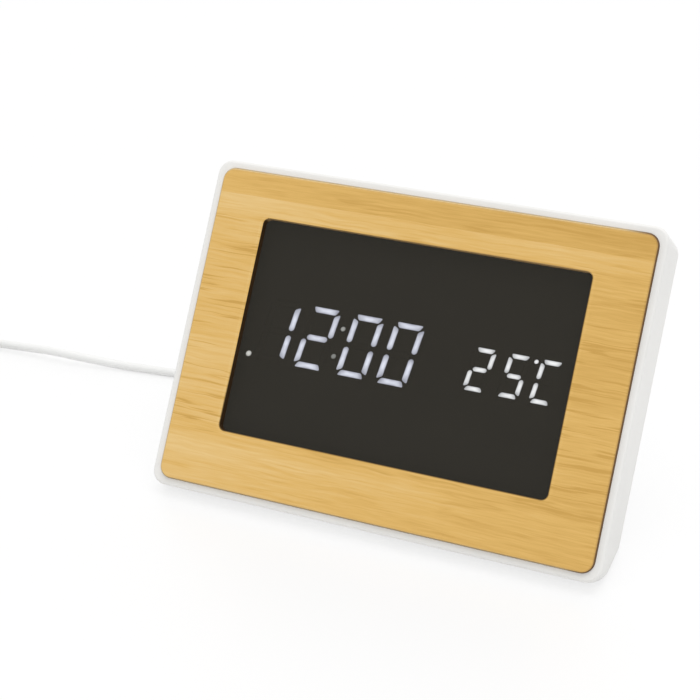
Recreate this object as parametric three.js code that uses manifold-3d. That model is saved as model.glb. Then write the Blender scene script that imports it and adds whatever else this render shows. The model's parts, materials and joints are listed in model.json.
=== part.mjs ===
// A digital weather station: a leaning desk clock with a bamboo front, a smoked window over lit digits,
// a white one-piece case, a fold-out leg behind it and a cord that ends in a plug.
// Millimetres, +Z up. The clock faces -Y and stands on a table at Z = 0.
import * as THREE from "three";
import { mergeVertices } from "three/addons/utils/BufferGeometryUtils.js";
import Module from "manifold-3d";

const wasm = await Module();
wasm.setup();

// Clearances
const SEAT_GAP = 0.3; // a piece and what it rests on or is glued to
const PANEL_GAP = 0.35; // the bamboo panel, and the chassis, inside the case
const LENS_GAP = 0.3; // the lens in the chassis
const PAD_GAP = 0.1; // a light guide pad in its well
const BORE_GAP = 0.25; // a screw, pin or plunger in its hole
const KEY_GAP = 0.3; // a key or the battery cap in the case
const LEG_GAP = 0.6; // the leg in its recess

// Digits, read from the window's left edge
const LARGE_WIDTH = 10.2;
const LARGE_HEIGHT = 20.3;
const LARGE_STROKE = 1.8;
const LARGE_PITCH = 13.8;
const SMALL_WIDTH = 7;
const SMALL_HEIGHT = 13.9;
const SMALL_STROKE = 1.45;
const SMALL_PITCH = 11.1;
const UNIT_PITCH = 10.3; // from the last small digit to the unit's letter
const DIGIT_SLANT = 0.137; // sideways lean for each millimetre of height
const BAR_MITRE = 0.6; // a bar's ends from the digit's sides, in strokes
const UPRIGHT_MITRE = 0.86; // an upright's outer end from the digit's top, in strokes
const END_SLOPE = 0.5; // how much shorter a segment is on its inner side, at each end, in strokes
const WAIST_GAP = 0.45; // an upright's inner end from the digit's middle, in strokes
const TIP_SLOPE = 0.3; // the length of the blunt tips at the waist, in strokes
const COLON_ROOM = 1.1;
const COLON_RADIUS = 0.8;
const COLON_RISE = 4.6;
const INDICATOR_RADIUS = 0.95;
const INDICATOR_DROP = 9;
const INDICATOR_MARGIN = 1.55; // from the window's edge
const INDICATOR_ROOM = 8.5; // to the first digit
const READING_ROOM = 26.45; // from the time to the temperature
const READING_MARGIN = 5.15; // to the window's right edge
const DEGREE_RADIUS = 0.68;
const DEGREE_ROOM = 4.25;
const DEGREE_RISE = 5.8;

// Bamboo panel and window
const PANEL_THICKNESS = 3;
const PANEL_PROUD = 1.2;
const BEZEL_WIDTH = 17.5; // left and right of the window
const TOP_BEZEL = 14.5;
const BOTTOM_BEZEL = 18.55;
const WINDOW_CORNER = 2.1;
const PANEL_CORNER = 3.75;

// Case
const CASE_HEIGHT = 109.4;
const CASE_DEPTH = 26;
const WALL = 2.5; // the case's sides, seen as its rim
const BACK_WALL = 1.9;
const CASE_CORNER = 4.8;
const FRONT_ROUND = 1;
const REAR_ROUND = 3;
const FIELD_MARGIN = 0.5; // the field of fittings on the back, beyond the board's edges
const LEAN = THREE.MathUtils.degToRad(33.6);
const FRONT_LIFT = 4.2; // the case's front lower edge above the table
const FOOT_THICKNESS = 1;
const FOOT_LENGTH = 24;
const FOOT_WIDTH = 6;
const FOOT_INSET = 22; // from the case's side to the middle of a foot

// Chassis, lens and display
const CHASSIS_THICKNESS = 1.8;
const LENS_THICKNESS = 1.8;
const LENS_LAP = 2;
const MASK_THICKNESS = 2.4;
const MASK_LAP = 2.5;
const GUIDE_SHEET = 1;
const GUIDE_MARGIN = 2; // the sheet around its pads
const LED_HEIGHT = 0.8;
const LED_LENGTH = 1.6;
const LED_WIDTH = 0.8;

// Board and what is on it
const BOARD_THICKNESS = 1.4;
const BOARD_INSET = 1.85; // the board's top and bottom inside the mask's
const BOARD_EDGE = 3; // from a screw to the board's side
const BOARD_SCREW_INSET = 4.5;
const BOSS_RADIUS = 2.7;
const BOSS_ROOM = 0.8; // between a boss and the mask or the case's side
const CONTROLLER_WIDTH = 10;
const CONTROLLER_HEIGHT = 1.2;
const CONTROLLER_DROP = 9; // below the top of the field
const CRYSTAL_WIDTH = 4;
const CRYSTAL_LENGTH = 10;
const CRYSTAL_HEIGHT = 3.4;
const CAPACITOR_RADIUS = 2.6;
const CAPACITOR_HEIGHT = 5;
const SMALL_PARTS_OFFSET = 12; // from the keys to the column of small parts
const BUZZER_RADIUS = 6;
const BUZZER_HEIGHT = 4.4;
const BUZZER_DROP = 10;
const SOUND_HOLE = 0.9;
const SOUND_RING = 3;
const SENSOR_RADIUS = 1.6;
const SENSOR_HEIGHT = 4;
const VENT_LENGTH = 14;
const VENT_WIDTH = 1.4;
const VENT_PITCH = 3;
const VENT_COUNT = 4;
const ENTRY_RISE = 10; // sensor and cord entry above the bottom of the field
const CONNECTOR_WIDTH = 7;

// Keys
const KEY_NAMES = ["set", "up", "down"];
const KEY_RADIUS = 3.6;
const KEY_PROUD = 1.2;
const KEY_FLANGE = 1;
const KEY_LIP = 1.2; // the flange beyond the key's side
const KEY_PITCH = 12;
const KEY_INSET = 20.5; // from the field's side
const KEY_TRAVEL = 0.6;
const SWITCH_WIDTH = 6;
const SWITCH_HEIGHT = 2.8;
const PLUNGER_RADIUS = 1.7;
const PLUNGER_SEAT = 1.6; // length of plunger inside the switch

// Backup cell
const CELL_RADIUS = 10;
const CELL_THICKNESS = 3.2;
const CELL_ROOM = 1.2; // between the cell and its cap
const HOLDER_FLOOR = 1;
const HOLDER_WALL = 1.5;
const CAP_RADIUS = 12.6;
const CAP_RIM = 1.4;
const TAB_REACH = 1.4;
const TAB_THICKNESS = 1;
const TAB_ANGLE = THREE.MathUtils.degToRad(24);
const TAB_COUNT = 3;
const CAP_TURN = THREE.MathUtils.degToRad(60); // from locked to the notches
const COIN_SLOT_WIDTH = 2;
const COIN_SLOT_LENGTH = 14;
const COIN_SLOT_DEPTH = 1;
const CAP_EDGE = 2; // from the cap's tabs to the field's side

// Leg
const LEG_WIDTH = 40;
const LEG_THICKNESS = 3;
const LEG_TILT = THREE.MathUtils.degToRad(8); // from upright when it stands open
const LEG_PAD = 1.2;
const LEG_PAD_INSET = 2;
const KNUCKLE_RADIUS = 2.3;
const PIN_RADIUS = 1;
const LUG = 4;
const FLOOR_GAP = 0.25;
const HINGE_DROP = 17; // below the top of the field
const FINGER_ROOM = 5; // below the folded leg

// Screws
const SCREW_RADIUS = 1.1;
const SCREW_HEAD = 2.2;
const SCREW_HEAD_HEIGHT = 1.3;
const CASE_SCREW_LENGTH = 7;
const BOARD_SCREW_LENGTH = 5;
const CASE_SCREW_LOW = 22; // above the case's lower edge
const CASE_SCREW_HIGH = 11; // below its upper edge

// Cord, coil, tie and plug
const GROMMET_COLLAR = 4;
const GROMMET_NECK = 2.9;
const GROMMET_TIP = 2.2;
const GROMMET_LENGTH = 12;
const CORD_DIAMETER = 3.2;
const CORD_SIDES = 8;
const CORD_STEPS = 44;
const COIL_TURNS = 7.25;
const COIL_RADIUS = 17.6; // at the middle of its turns
const COIL_SPACING = 3.9; // from a turn to the next, sideways and upwards
const COIL_CENTRE = [-199, 1.3];
const COIL_LIFT = 0.85; // the tie passes under the coil
const CLIMB_TURNS = 0.5; // from the lower layer to the upper one
const START_ANGLE = Math.PI / 2;
const COIL_STEPS = 24; // in each turn
const COIL_SIDES = 6;
const TAIL_LENGTH = 17;
const TIE_THICKNESS = 0.5;
const TIE_WIDTH = 6;
const TIE_TURN = 0.5; // where the tie goes round, in turns from the coil's start
const PLUG_WIDTH = 15.6;
const PLUG_THICKNESS = 8.4;
const PLUG_LENGTH = 20;
const PLUG_CORNER = 2.4;
const PLUG_ROUND = 0.8;
const RELIEF_LENGTH = 9;
const RELIEF_WIDE = 3.4;
const RELIEF_TIP = 2.2;
const CONTACT_WIDTH = 12;
const CONTACT_HEIGHT = 4.5;
const CONTACT_LENGTH = 12;
const CONTACT_WALL = 0.4;
const TONGUE_HEIGHT = 1.8;

// The cord from the grommet to the coil, on the table behind the clock and out to its left
const CORD_ROUTE = [
  [-50.5, 14.4, 2.3],
  [-50.7, 18.4, 1.7],
  [-52.6, 23.0, 1.65],
  [-57.4, 27.5, 1.65],
  [-64.4, 30.3, 1.65],
  [-72.6, 31.5, 1.65],
  [-81.0, 31.9, 1.65],
  [-90.0, 31.6, 1.65],
  [-99.0, 30.8, 1.65],
  [-107.5, 29.4, 1.7],
  [-116.5, 28.3, 1.9],
  [-125.5, 27.0, 2.4],
  [-134.5, 25.3, 3.5],
  [-143.0, 24.0, 4.2],
  [-151.5, 23.8, 3.7],
  [-160.0, 24.7, 2.6],
  [-168.5, 25.1, 1.9],
  [-177.0, 25.4, 1.9],
];

// Mesh detail
const CORNER_STEPS = 5;
const ROUND_STEPS = 4;
const SMALL_SIDES = 12;
const LARGE_SIDES = 28;
const DOT_SIDES = 8;
const MEASURED_STEPS = 50; // points in each turn of the coil where its gap is measured
const CUT_THROUGH = 1; // how far a cutting tool runs past what it cuts

// Widths and heights that follow from the digits and the case
const indicatorX = INDICATOR_MARGIN + INDICATOR_RADIUS;
const firstDigitX = indicatorX + INDICATOR_ROOM;
const timeX = [0, 1, 2, 3].map((i) => firstDigitX + i * LARGE_PITCH + (i > 1 ? COLON_ROOM : 0));
const colonX = (timeX[1] + timeX[2]) / 2;
const readingX = [0, 1].map((i) => timeX[3] + READING_ROOM + i * SMALL_PITCH);
const unitX = readingX[1] + UNIT_PITCH;
const degreeX = unitX - DEGREE_ROOM;
const windowWidth = unitX + SMALL_WIDTH / 2 + READING_MARGIN;
const panelWidth = windowWidth + 2 * BEZEL_WIDTH;
const panelHeight = CASE_HEIGHT - 2 * (PANEL_GAP + WALL);
const windowHeight = panelHeight - TOP_BEZEL - BOTTOM_BEZEL;
const caseWidth = panelWidth + 2 * (PANEL_GAP + WALL);
const caseMiddle = CASE_HEIGHT / 2;
const windowMiddle = WALL + PANEL_GAP + BOTTOM_BEZEL + windowHeight / 2;
const lensWidth = windowWidth + 2 * LENS_LAP;
const lensHeight = windowHeight + 2 * LENS_LAP;
const maskWidth = lensWidth + 2 * MASK_LAP;
const maskHeight = lensHeight + 2 * MASK_LAP;

// Depths behind the rim's front, from the bamboo to the back
const panelFront = -PANEL_PROUD;
const panelBack = panelFront + PANEL_THICKNESS;
const chassisFront = panelBack + SEAT_GAP;
const chassisBack = chassisFront + CHASSIS_THICKNESS;
const lensBack = chassisFront + LENS_THICKNESS;
const maskFront = Math.max(chassisBack, lensBack) + SEAT_GAP;
const maskBack = maskFront + MASK_THICKNESS;
const guideFront = maskBack + SEAT_GAP;
const guideBack = guideFront + GUIDE_SHEET;
const boardFront = guideBack + SEAT_GAP + LED_HEIGHT;
const boardBack = boardFront + BOARD_THICKNESS;
const partsFront = boardBack + SEAT_GAP;
const backInside = CASE_DEPTH - BACK_WALL;

// Places on the board, and on the field of fittings on the case's back
const bossX = maskWidth / 2 + BOSS_ROOM + BOSS_RADIUS;
const boardWidth = 2 * (bossX + BOARD_EDGE);
const boardHeight = maskHeight - 2 * BOARD_INSET;
const caseScrewX = caseWidth / 2 - WALL - BOSS_ROOM - BOSS_RADIUS;
const fieldX = boardWidth / 2 + FIELD_MARGIN;
const fieldTop = windowMiddle + boardHeight / 2 + FIELD_MARGIN;
const fieldBottom = windowMiddle - boardHeight / 2 - FIELD_MARGIN;
const keyX = fieldX - KEY_INSET;
const smallPartsX = keyX + SMALL_PARTS_OFFSET;
const cellX = -(fieldX - CAP_RADIUS - TAB_REACH - CAP_EDGE);
const hingeHeight = fieldTop - HINGE_DROP;
const hingeDepth = CASE_DEPTH - KNUCKLE_RADIUS;
const boardScrewHeights = [-1, 1].map((s) => windowMiddle + s * (boardHeight / 2 - BOARD_SCREW_INSET));
const caseScrewHeights = [CASE_SCREW_LOW, CASE_HEIGHT - CASE_SCREW_HIGH];

// Shapes are drawn on the face, x across it and z up it, and given a depth behind the rim as y

function polygon(points) {
  return new THREE.Shape(points.map(([x, z]) => new THREE.Vector2(x, z)));
}

function roundedRectangle(width, height, radius, z = 0) {
  const x = width / 2 - radius;
  const rise = height / 2 - radius;
  const quarter = Math.PI / 2;
  const shape = new THREE.Shape();
  shape.absarc(x, z - rise, radius, -quarter, 0);
  shape.absarc(x, z + rise, radius, 0, quarter);
  shape.absarc(-x, z + rise, radius, quarter, 2 * quarter);
  shape.absarc(-x, z - rise, radius, 2 * quarter, 3 * quarter);
  return shape;
}

// A plate between two depths, with both its faces' edges rounded if asked
function plate(shape, front, back, round = 0) {
  const geometry = new THREE.ExtrudeGeometry(shape, {
    depth: back - front - 2 * round,
    bevelEnabled: round > 0,
    bevelThickness: round,
    bevelSize: round,
    bevelOffset: -round,
    bevelSegments: ROUND_STEPS,
    curveSegments: CORNER_STEPS,
  });
  return geometry.rotateX(Math.PI / 2).translate(0, back - round, 0);
}

// A round piece on a depth axis, from [radius, depth] points that run from its front to its back
function turned(profile, x = 0, z = 0, sides = SMALL_SIDES) {
  const points = profile.map(([radius, depth]) => new THREE.Vector2(radius, depth));
  return new THREE.LatheGeometry(points, sides).translate(x, 0, z);
}

function drum(radius, front, back, x = 0, z = 0, sides = SMALL_SIDES) {
  return turned([[0, front], [radius, front], [radius, back], [0, back]], x, z, sides);
}

function block(width, height, front, back, x = 0, z = 0) {
  return new THREE.BoxGeometry(width, back - front, height).translate(x, (front + back) / 2, z);
}

// A side view, with depth and height as its two directions, made as wide as asked across x
function wide(shape, width) {
  const geometry = new THREE.ExtrudeGeometry(shape, {
    depth: width,
    bevelEnabled: false,
    curveSegments: SMALL_SIDES,
  });
  const across = new THREE.Vector3(1, 0, 0);
  const deep = new THREE.Vector3(0, 1, 0);
  const up = new THREE.Vector3(0, 0, 1);
  geometry.applyMatrix4(new THREE.Matrix4().makeBasis(deep, up, across));
  return geometry.translate(-width / 2, 0, 0);
}

// Booleans

function solid(shape) {
  if (!shape.isBufferGeometry) return shape;
  const bare = shape.clone();
  bare.deleteAttribute("normal");
  bare.deleteAttribute("uv");
  const merged = mergeVertices(bare);
  const corners = merged.index.array;
  const kept = [];
  for (let i = 0; i < corners.length; i += 3) {
    const [a, b, c] = corners.slice(i, i + 3);
    if (a !== b && b !== c && c !== a) kept.push(a, b, c);
  }
  return new wasm.Manifold(
    new wasm.Mesh({
      numProp: 3,
      vertProperties: merged.attributes.position.array,
      triVerts: new Uint32Array(kept),
    }),
  );
}

function join(first, ...others) {
  return others.reduce((whole, piece) => whole.add(solid(piece)), solid(first));
}

function cut(first, ...tools) {
  return tools.reduce((whole, tool) => whole.subtract(solid(tool)), solid(first));
}

function surface(body) {
  const { vertProperties, triVerts } = body.getMesh();
  const geometry = new THREE.BufferGeometry();
  geometry.setAttribute("position", new THREE.BufferAttribute(vertProperties, 3));
  geometry.setIndex(new THREE.BufferAttribute(triVerts, 1));
  geometry.computeVertexNormals();
  return geometry;
}

// Groups: the station holds the clock and the cord, and the clock holds the leaning case and the feet

const station = new THREE.Group();
const clock = new THREE.Group();
const leaning = new THREE.Group();
const leg = new THREE.Group();
station.add(clock);
clock.add(leaning);
leaning.add(leg);
leaning.position.z = FRONT_LIFT;
leaning.rotation.x = -LEAN;

function place(group, name, shape, finish) {
  const mesh = new THREE.Mesh(surface(solid(shape)), new THREE.MeshStandardMaterial(finish));
  mesh.name = name;
  group.add(mesh);
  return mesh;
}

const WHITE_ABS = { color: 0xf1f0ec, roughness: 0.42 };
const BLACK_ABS = { color: 0x161616, roughness: 0.6 };
const BAMBOO = { color: 0xd8ad63, roughness: 0.5 };
const SMOKED_ACRYLIC = { color: 0x14130f, roughness: 0.08, transparent: true, opacity: 0.6 };
const DARK_GUIDE = { color: 0x1e1e22, roughness: 0.4 };
const GREEN_BOARD = { color: 0x1f5a37, roughness: 0.5 };
const STEEL = { color: 0xb9bcc0, roughness: 0.3, metalness: 1 };
const GREY_RUBBER = { color: 0x6d6d6b, roughness: 0.85 };
const WHITE_VINYL = { color: 0xeeeeea, roughness: 0.5 };
const CONNECTOR_PLASTIC = { color: 0xe4dcc4, roughness: 0.5 };

// Marks on the display: the segments of every digit, the colon and the two dots

function segmentOutlines(width, height, stroke, names) {
  const side = width / 2;
  const top = height / 2;
  const inner = side - stroke;
  const slope = END_SLOPE * stroke;
  const barEnd = side - BAR_MITRE * stroke;
  const uprightEnd = top - UPRIGHT_MITRE * stroke;
  const waist = WAIST_GAP * stroke;
  const blunt = TIP_SLOPE * stroke;
  const bar = [
    [-barEnd, top],
    [barEnd, top],
    [barEnd - slope, top - stroke],
    [slope - barEnd, top - stroke],
  ];
  const upright = [
    [side, uprightEnd],
    [side, waist + blunt],
    [side - stroke / 2, waist],
    [inner, waist + blunt],
    [inner, uprightEnd - slope],
  ];
  const shoulder = inner - blunt;
  const middle = [
    [-inner, 0],
    [-shoulder, stroke / 2],
    [shoulder, stroke / 2],
    [inner, 0],
    [shoulder, -stroke / 2],
    [-shoulder, -stroke / 2],
  ];
  const flipped = (outline, across, up) => outline.map(([x, z]) => [across * x, up * z]);
  const segments = {
    a: bar,
    b: upright,
    c: flipped(upright, 1, -1),
    d: flipped(bar, 1, -1),
    e: flipped(upright, -1, -1),
    f: flipped(upright, -1, 1),
    g: middle,
  };
  return [...names].map((name) => slanted(segments[name]));
}

function slanted(outline) {
  return outline.map(([x, z]) => [x + DIGIT_SLANT * z, z]);
}

function dotOutline(radius, rise) {
  const turns = Array.from({ length: DOT_SIDES }, (_, i) => (2 * Math.PI * i) / DOT_SIDES);
  return turns.map((t) => [radius * Math.cos(t), rise + radius * Math.sin(t)]);
}

function markOutlines() {
  const large = segmentOutlines(LARGE_WIDTH, LARGE_HEIGHT, LARGE_STROKE, "abcdefg");
  const small = segmentOutlines(SMALL_WIDTH, SMALL_HEIGHT, SMALL_STROKE, "abcdefg");
  const unit = segmentOutlines(SMALL_WIDTH, SMALL_HEIGHT, SMALL_STROKE, "adefg");
  const colon = [-1, 1].map((s) => slanted(dotOutline(COLON_RADIUS, s * COLON_RISE)));
  const groups = [
    ...timeX.map((x) => [x, large]),
    ...readingX.map((x) => [x, small]),
    [unitX, unit],
    [colonX, colon],
    [degreeX, [dotOutline(DEGREE_RADIUS, DEGREE_RISE)]],
    [indicatorX, [dotOutline(INDICATOR_RADIUS, -INDICATOR_DROP)]],
  ];
  return groups.flatMap(([x, outlines]) =>
    outlines.map((outline) =>
      outline.map(([dx, dz]) => [x - windowWidth / 2 + dx, windowMiddle + dz]),
    ),
  );
}

// The outline with each of its sides moved outwards
function grown(outline, by) {
  const points = outline.map(([x, z]) => new THREE.Vector2(x, z));
  const turn = Math.sign(THREE.ShapeUtils.area(points));
  const outwards = points.map((point, i) => {
    const along = points[(i + 1) % points.length].clone().sub(point).normalize();
    return new THREE.Vector2(turn * along.y, -turn * along.x);
  });
  return points.map((point, i) => {
    const both = outwards[i].clone().add(outwards.at(i - 1));
    return point.clone().addScaledVector(both, (2 * by) / both.lengthSq()).toArray();
  });
}

function middleOf(outline) {
  const sum = outline.reduce(([x, z], [px, pz]) => [x + px, z + pz], [0, 0]);
  return sum.map((total) => total / outline.length);
}

// Front: bamboo panel, chassis and lens

const panel = roundedRectangle(panelWidth, panelHeight, PANEL_CORNER, caseMiddle);
panel.holes.push(roundedRectangle(windowWidth, windowHeight, WINDOW_CORNER, windowMiddle));
place(leaning, "bamboo_panel", plate(panel, panelFront, panelBack), BAMBOO);

const chassis = roundedRectangle(panelWidth, panelHeight, PANEL_CORNER, caseMiddle);
const lensSeat = roundedRectangle(
  lensWidth + 2 * LENS_GAP,
  lensHeight + 2 * LENS_GAP,
  WINDOW_CORNER + LENS_LAP + LENS_GAP,
  windowMiddle,
);
chassis.holes.push(lensSeat);
const bosses = [];
const pilots = [];
for (const side of [-1, 1]) {
  for (const z of boardScrewHeights) {
    bosses.push(drum(BOSS_RADIUS, chassisFront, boardFront - SEAT_GAP, side * bossX, z));
    pilots.push(drum(SCREW_RADIUS + BORE_GAP, chassisBack, boardFront, side * bossX, z));
  }
  for (const z of caseScrewHeights) {
    bosses.push(drum(BOSS_RADIUS, chassisFront, backInside - SEAT_GAP, side * caseScrewX, z));
    pilots.push(drum(SCREW_RADIUS + BORE_GAP, chassisBack, backInside, side * caseScrewX, z));
  }
}
const chassisPlate = join(plate(chassis, chassisFront, chassisBack), ...bosses);
place(leaning, "chassis", cut(chassisPlate, ...pilots), BLACK_ABS);

const lens = roundedRectangle(lensWidth, lensHeight, WINDOW_CORNER + LENS_LAP, windowMiddle);
place(leaning, "display_lens", plate(lens, chassisFront, lensBack), SMOKED_ACRYLIC);

// Display: a black mask with a well for each mark, and a dark light guide with a pad in each well

const mask = roundedRectangle(maskWidth, maskHeight, WINDOW_CORNER + LENS_LAP + MASK_LAP, windowMiddle);
const marks = markOutlines();
const wells = marks.map((outline) =>
  plate(polygon(grown(outline, PAD_GAP)), maskFront - CUT_THROUGH, maskBack + CUT_THROUGH),
);
place(leaning, "segment_mask", cut(plate(mask, maskFront, maskBack), ...wells), BLACK_ABS);

const guideLeft = -windowWidth / 2 + INDICATOR_MARGIN - GUIDE_MARGIN;
const guideRight = windowWidth / 2 - READING_MARGIN + GUIDE_MARGIN + (DIGIT_SLANT * SMALL_HEIGHT) / 2;
const guideSheet = block(
  guideRight - guideLeft,
  LARGE_HEIGHT + 2 * GUIDE_MARGIN,
  guideFront,
  guideBack,
  (guideLeft + guideRight) / 2,
  windowMiddle,
);
const pads = marks.map((outline) => plate(polygon(outline), maskFront, (guideFront + guideBack) / 2));
place(leaning, "light_guide", join(guideSheet, ...pads), DARK_GUIDE);

// Board with a lamp behind each mark, and the parts soldered to its back

const board = roundedRectangle(boardWidth, boardHeight, BOARD_EDGE, windowMiddle);
const lamps = marks.map((outline) => {
  const [x, z] = middleOf(outline);
  return block(LED_LENGTH, LED_WIDTH, boardFront - LED_HEIGHT, (boardFront + boardBack) / 2, x, z);
});
const boardHoles = boardScrewHeights.flatMap((z) =>
  [-bossX, bossX].map((x) =>
    drum(SCREW_RADIUS + BORE_GAP, boardFront - CUT_THROUGH, boardBack + CUT_THROUGH, x, z),
  ),
);
const boardPlate = join(plate(board, boardFront, boardBack), ...lamps);
place(leaning, "main_board", cut(boardPlate, ...boardHoles), GREEN_BOARD);

const controllerZ = fieldTop - CONTROLLER_DROP;
const lowZ = fieldBottom + ENTRY_RISE;
const buzzerZ = fieldTop - BUZZER_DROP;
const controller = block(
  CONTROLLER_WIDTH,
  CONTROLLER_WIDTH,
  partsFront,
  partsFront + CONTROLLER_HEIGHT,
  keyX,
  controllerZ,
);
place(leaning, "controller_chip", controller, BLACK_ABS);
const crystal = block(
  CRYSTAL_WIDTH,
  CRYSTAL_LENGTH,
  partsFront,
  partsFront + CRYSTAL_HEIGHT,
  smallPartsX,
  controllerZ,
);
place(leaning, "clock_crystal", crystal, STEEL);
const capacitor = drum(
  CAPACITOR_RADIUS,
  partsFront,
  partsFront + CAPACITOR_HEIGHT,
  smallPartsX,
  windowMiddle,
);
place(leaning, "supply_capacitor", capacitor, STEEL);
const buzzer = drum(BUZZER_RADIUS, partsFront, partsFront + BUZZER_HEIGHT, cellX, buzzerZ, LARGE_SIDES);
place(leaning, "buzzer", buzzer, BLACK_ABS);
const sensor = turned(
  [
    [0, partsFront],
    [SENSOR_RADIUS, partsFront],
    [SENSOR_RADIUS, partsFront + SENSOR_HEIGHT - SENSOR_RADIUS / 2],
    [SENSOR_RADIUS / 2, partsFront + SENSOR_HEIGHT],
    [0, partsFront + SENSOR_HEIGHT],
  ],
  keyX,
  lowZ,
);
place(leaning, "temperature_sensor", sensor, BLACK_ABS);

// Keys: each slides in the case's back and presses the plunger of a switch on the board

const flangeBack = backInside - SEAT_GAP;
const flangeFront = flangeBack - KEY_FLANGE;
const switchBack = partsFront + SWITCH_HEIGHT;
const plungerFront = switchBack - PLUNGER_SEAT;
const keyHoles = [];
KEY_NAMES.forEach((name, i) => {
  const z = windowMiddle + (1 - i) * KEY_PITCH;
  const well = drum(
    PLUNGER_RADIUS + BORE_GAP,
    plungerFront - KEY_TRAVEL - BORE_GAP,
    switchBack + CUT_THROUGH,
    keyX,
    z,
  );
  const housing = block(SWITCH_WIDTH, SWITCH_WIDTH, partsFront, switchBack, keyX, z);
  place(leaning, `${name}_switch`, cut(housing, well), BLACK_ABS);
  const plunger = drum(PLUNGER_RADIUS, plungerFront, flangeFront - SEAT_GAP, keyX, z);
  place(leaning, `${name}_plunger`, plunger, WHITE_VINYL);
  const key = turned(
    [
      [0, flangeFront],
      [KEY_RADIUS + KEY_LIP, flangeFront],
      [KEY_RADIUS + KEY_LIP, flangeBack],
      [KEY_RADIUS, flangeBack],
      [KEY_RADIUS, CASE_DEPTH + KEY_PROUD / 2],
      [KEY_RADIUS - KEY_PROUD / 2, CASE_DEPTH + KEY_PROUD],
      [0, CASE_DEPTH + KEY_PROUD],
    ],
    keyX,
    z,
    LARGE_SIDES / 2,
  );
  place(leaning, `${name}_key`, key, WHITE_ABS);
  keyHoles.push(
    drum(KEY_RADIUS + KEY_GAP, backInside - CUT_THROUGH, CASE_DEPTH + CUT_THROUGH, keyX, z, LARGE_SIDES / 2),
  );
});

// Backup cell in a round holder that stands on the board, under a bayonet cap that turns with a coin

function sector(inner, outer, angle, middle) {
  const shape = new THREE.Shape();
  shape.absarc(0, 0, outer, middle - angle / 2, middle + angle / 2);
  shape.absarc(0, 0, inner, middle + angle / 2, middle - angle / 2, true);
  return shape;
}

const tabBack = backInside - SEAT_GAP;
const tabFront = tabBack - TAB_THICKNESS;
const capRimInner = CAP_RADIUS - CAP_RIM;
const cellFront = backInside - CELL_ROOM - CELL_THICKNESS;
const floorBack = cellFront - SEAT_GAP;
const cupInner = CELL_RADIUS + SEAT_GAP;
const cupOuter = cupInner + HOLDER_WALL;
const holder = turned(
  [
    [0, floorBack - HOLDER_FLOOR],
    [cupInner, floorBack - HOLDER_FLOOR],
    [cupInner, partsFront],
    [cupOuter, partsFront],
    [cupOuter, tabFront - SEAT_GAP],
    [cupInner, tabFront - SEAT_GAP],
    [cupInner, floorBack],
    [0, floorBack],
  ],
  cellX,
  windowMiddle,
  LARGE_SIDES,
);
place(leaning, "cell_holder", holder, BLACK_ABS);
const cell = drum(CELL_RADIUS, cellFront, cellFront + CELL_THICKNESS, cellX, windowMiddle, LARGE_SIDES);
place(leaning, "backup_cell", cell, STEEL);

const capDisc = turned(
  [
    [0, backInside],
    [capRimInner, backInside],
    [capRimInner, tabFront],
    [CAP_RADIUS, tabFront],
    [CAP_RADIUS, CASE_DEPTH],
    [0, CASE_DEPTH],
  ],
  0,
  0,
  LARGE_SIDES,
);
const tabTurns = Array.from({ length: TAB_COUNT }, (_, i) => (2 * Math.PI * i) / TAB_COUNT);
const tabs = tabTurns.map((t) =>
  plate(sector(capRimInner + CAP_RIM / 2, CAP_RADIUS + TAB_REACH, TAB_ANGLE, t), tabFront, tabBack),
);
const coinSlot = block(
  COIN_SLOT_LENGTH,
  COIN_SLOT_WIDTH,
  CASE_DEPTH - COIN_SLOT_DEPTH,
  CASE_DEPTH + CUT_THROUGH,
);
const cap = place(leaning, "battery_cap", cut(join(capDisc, ...tabs), coinSlot), WHITE_ABS);
cap.position.set(cellX, 0, windowMiddle);

const notchAngle = TAB_ANGLE + (2 * KEY_GAP) / CAP_RADIUS;
const capHole = join(
  drum(CAP_RADIUS + KEY_GAP, tabFront, CASE_DEPTH + CUT_THROUGH, 0, 0, LARGE_SIDES),
  ...tabTurns.map((t) =>
    plate(
      sector(CAP_RADIUS - CAP_RIM, CAP_RADIUS + TAB_REACH + KEY_GAP, notchAngle, t + CAP_TURN),
      tabFront,
      CASE_DEPTH + CUT_THROUGH,
    ),
  ),
).translate([cellX, 0, windowMiddle]);

// Leg: it stands open at rest, with its heel against the floor of the recess that it folds into

const hingeOverTable = FRONT_LIFT + hingeHeight * Math.cos(LEAN) - hingeDepth * Math.sin(LEAN);
const legOpen = LEAN + LEG_TILT;
const legOuter = KNUCKLE_RADIUS;
const legInner = KNUCKLE_RADIUS - LEG_THICKNESS;
const heelInner = SEAT_GAP;
const heelReach = KNUCKLE_RADIUS + FLOOR_GAP - SEAT_GAP + heelInner * Math.cos(legOpen);
const heelTop = heelReach / Math.sin(legOpen);
const recessTop = Math.hypot(legOuter, heelTop) + LEG_GAP;

// Height in the leg's own frame of a level that lies so far above the table, at a depth in the leg
function levelInLeg(overTable, depth) {
  return (overTable - hingeOverTable - depth * Math.sin(LEG_TILT)) / Math.cos(LEG_TILT);
}

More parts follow.
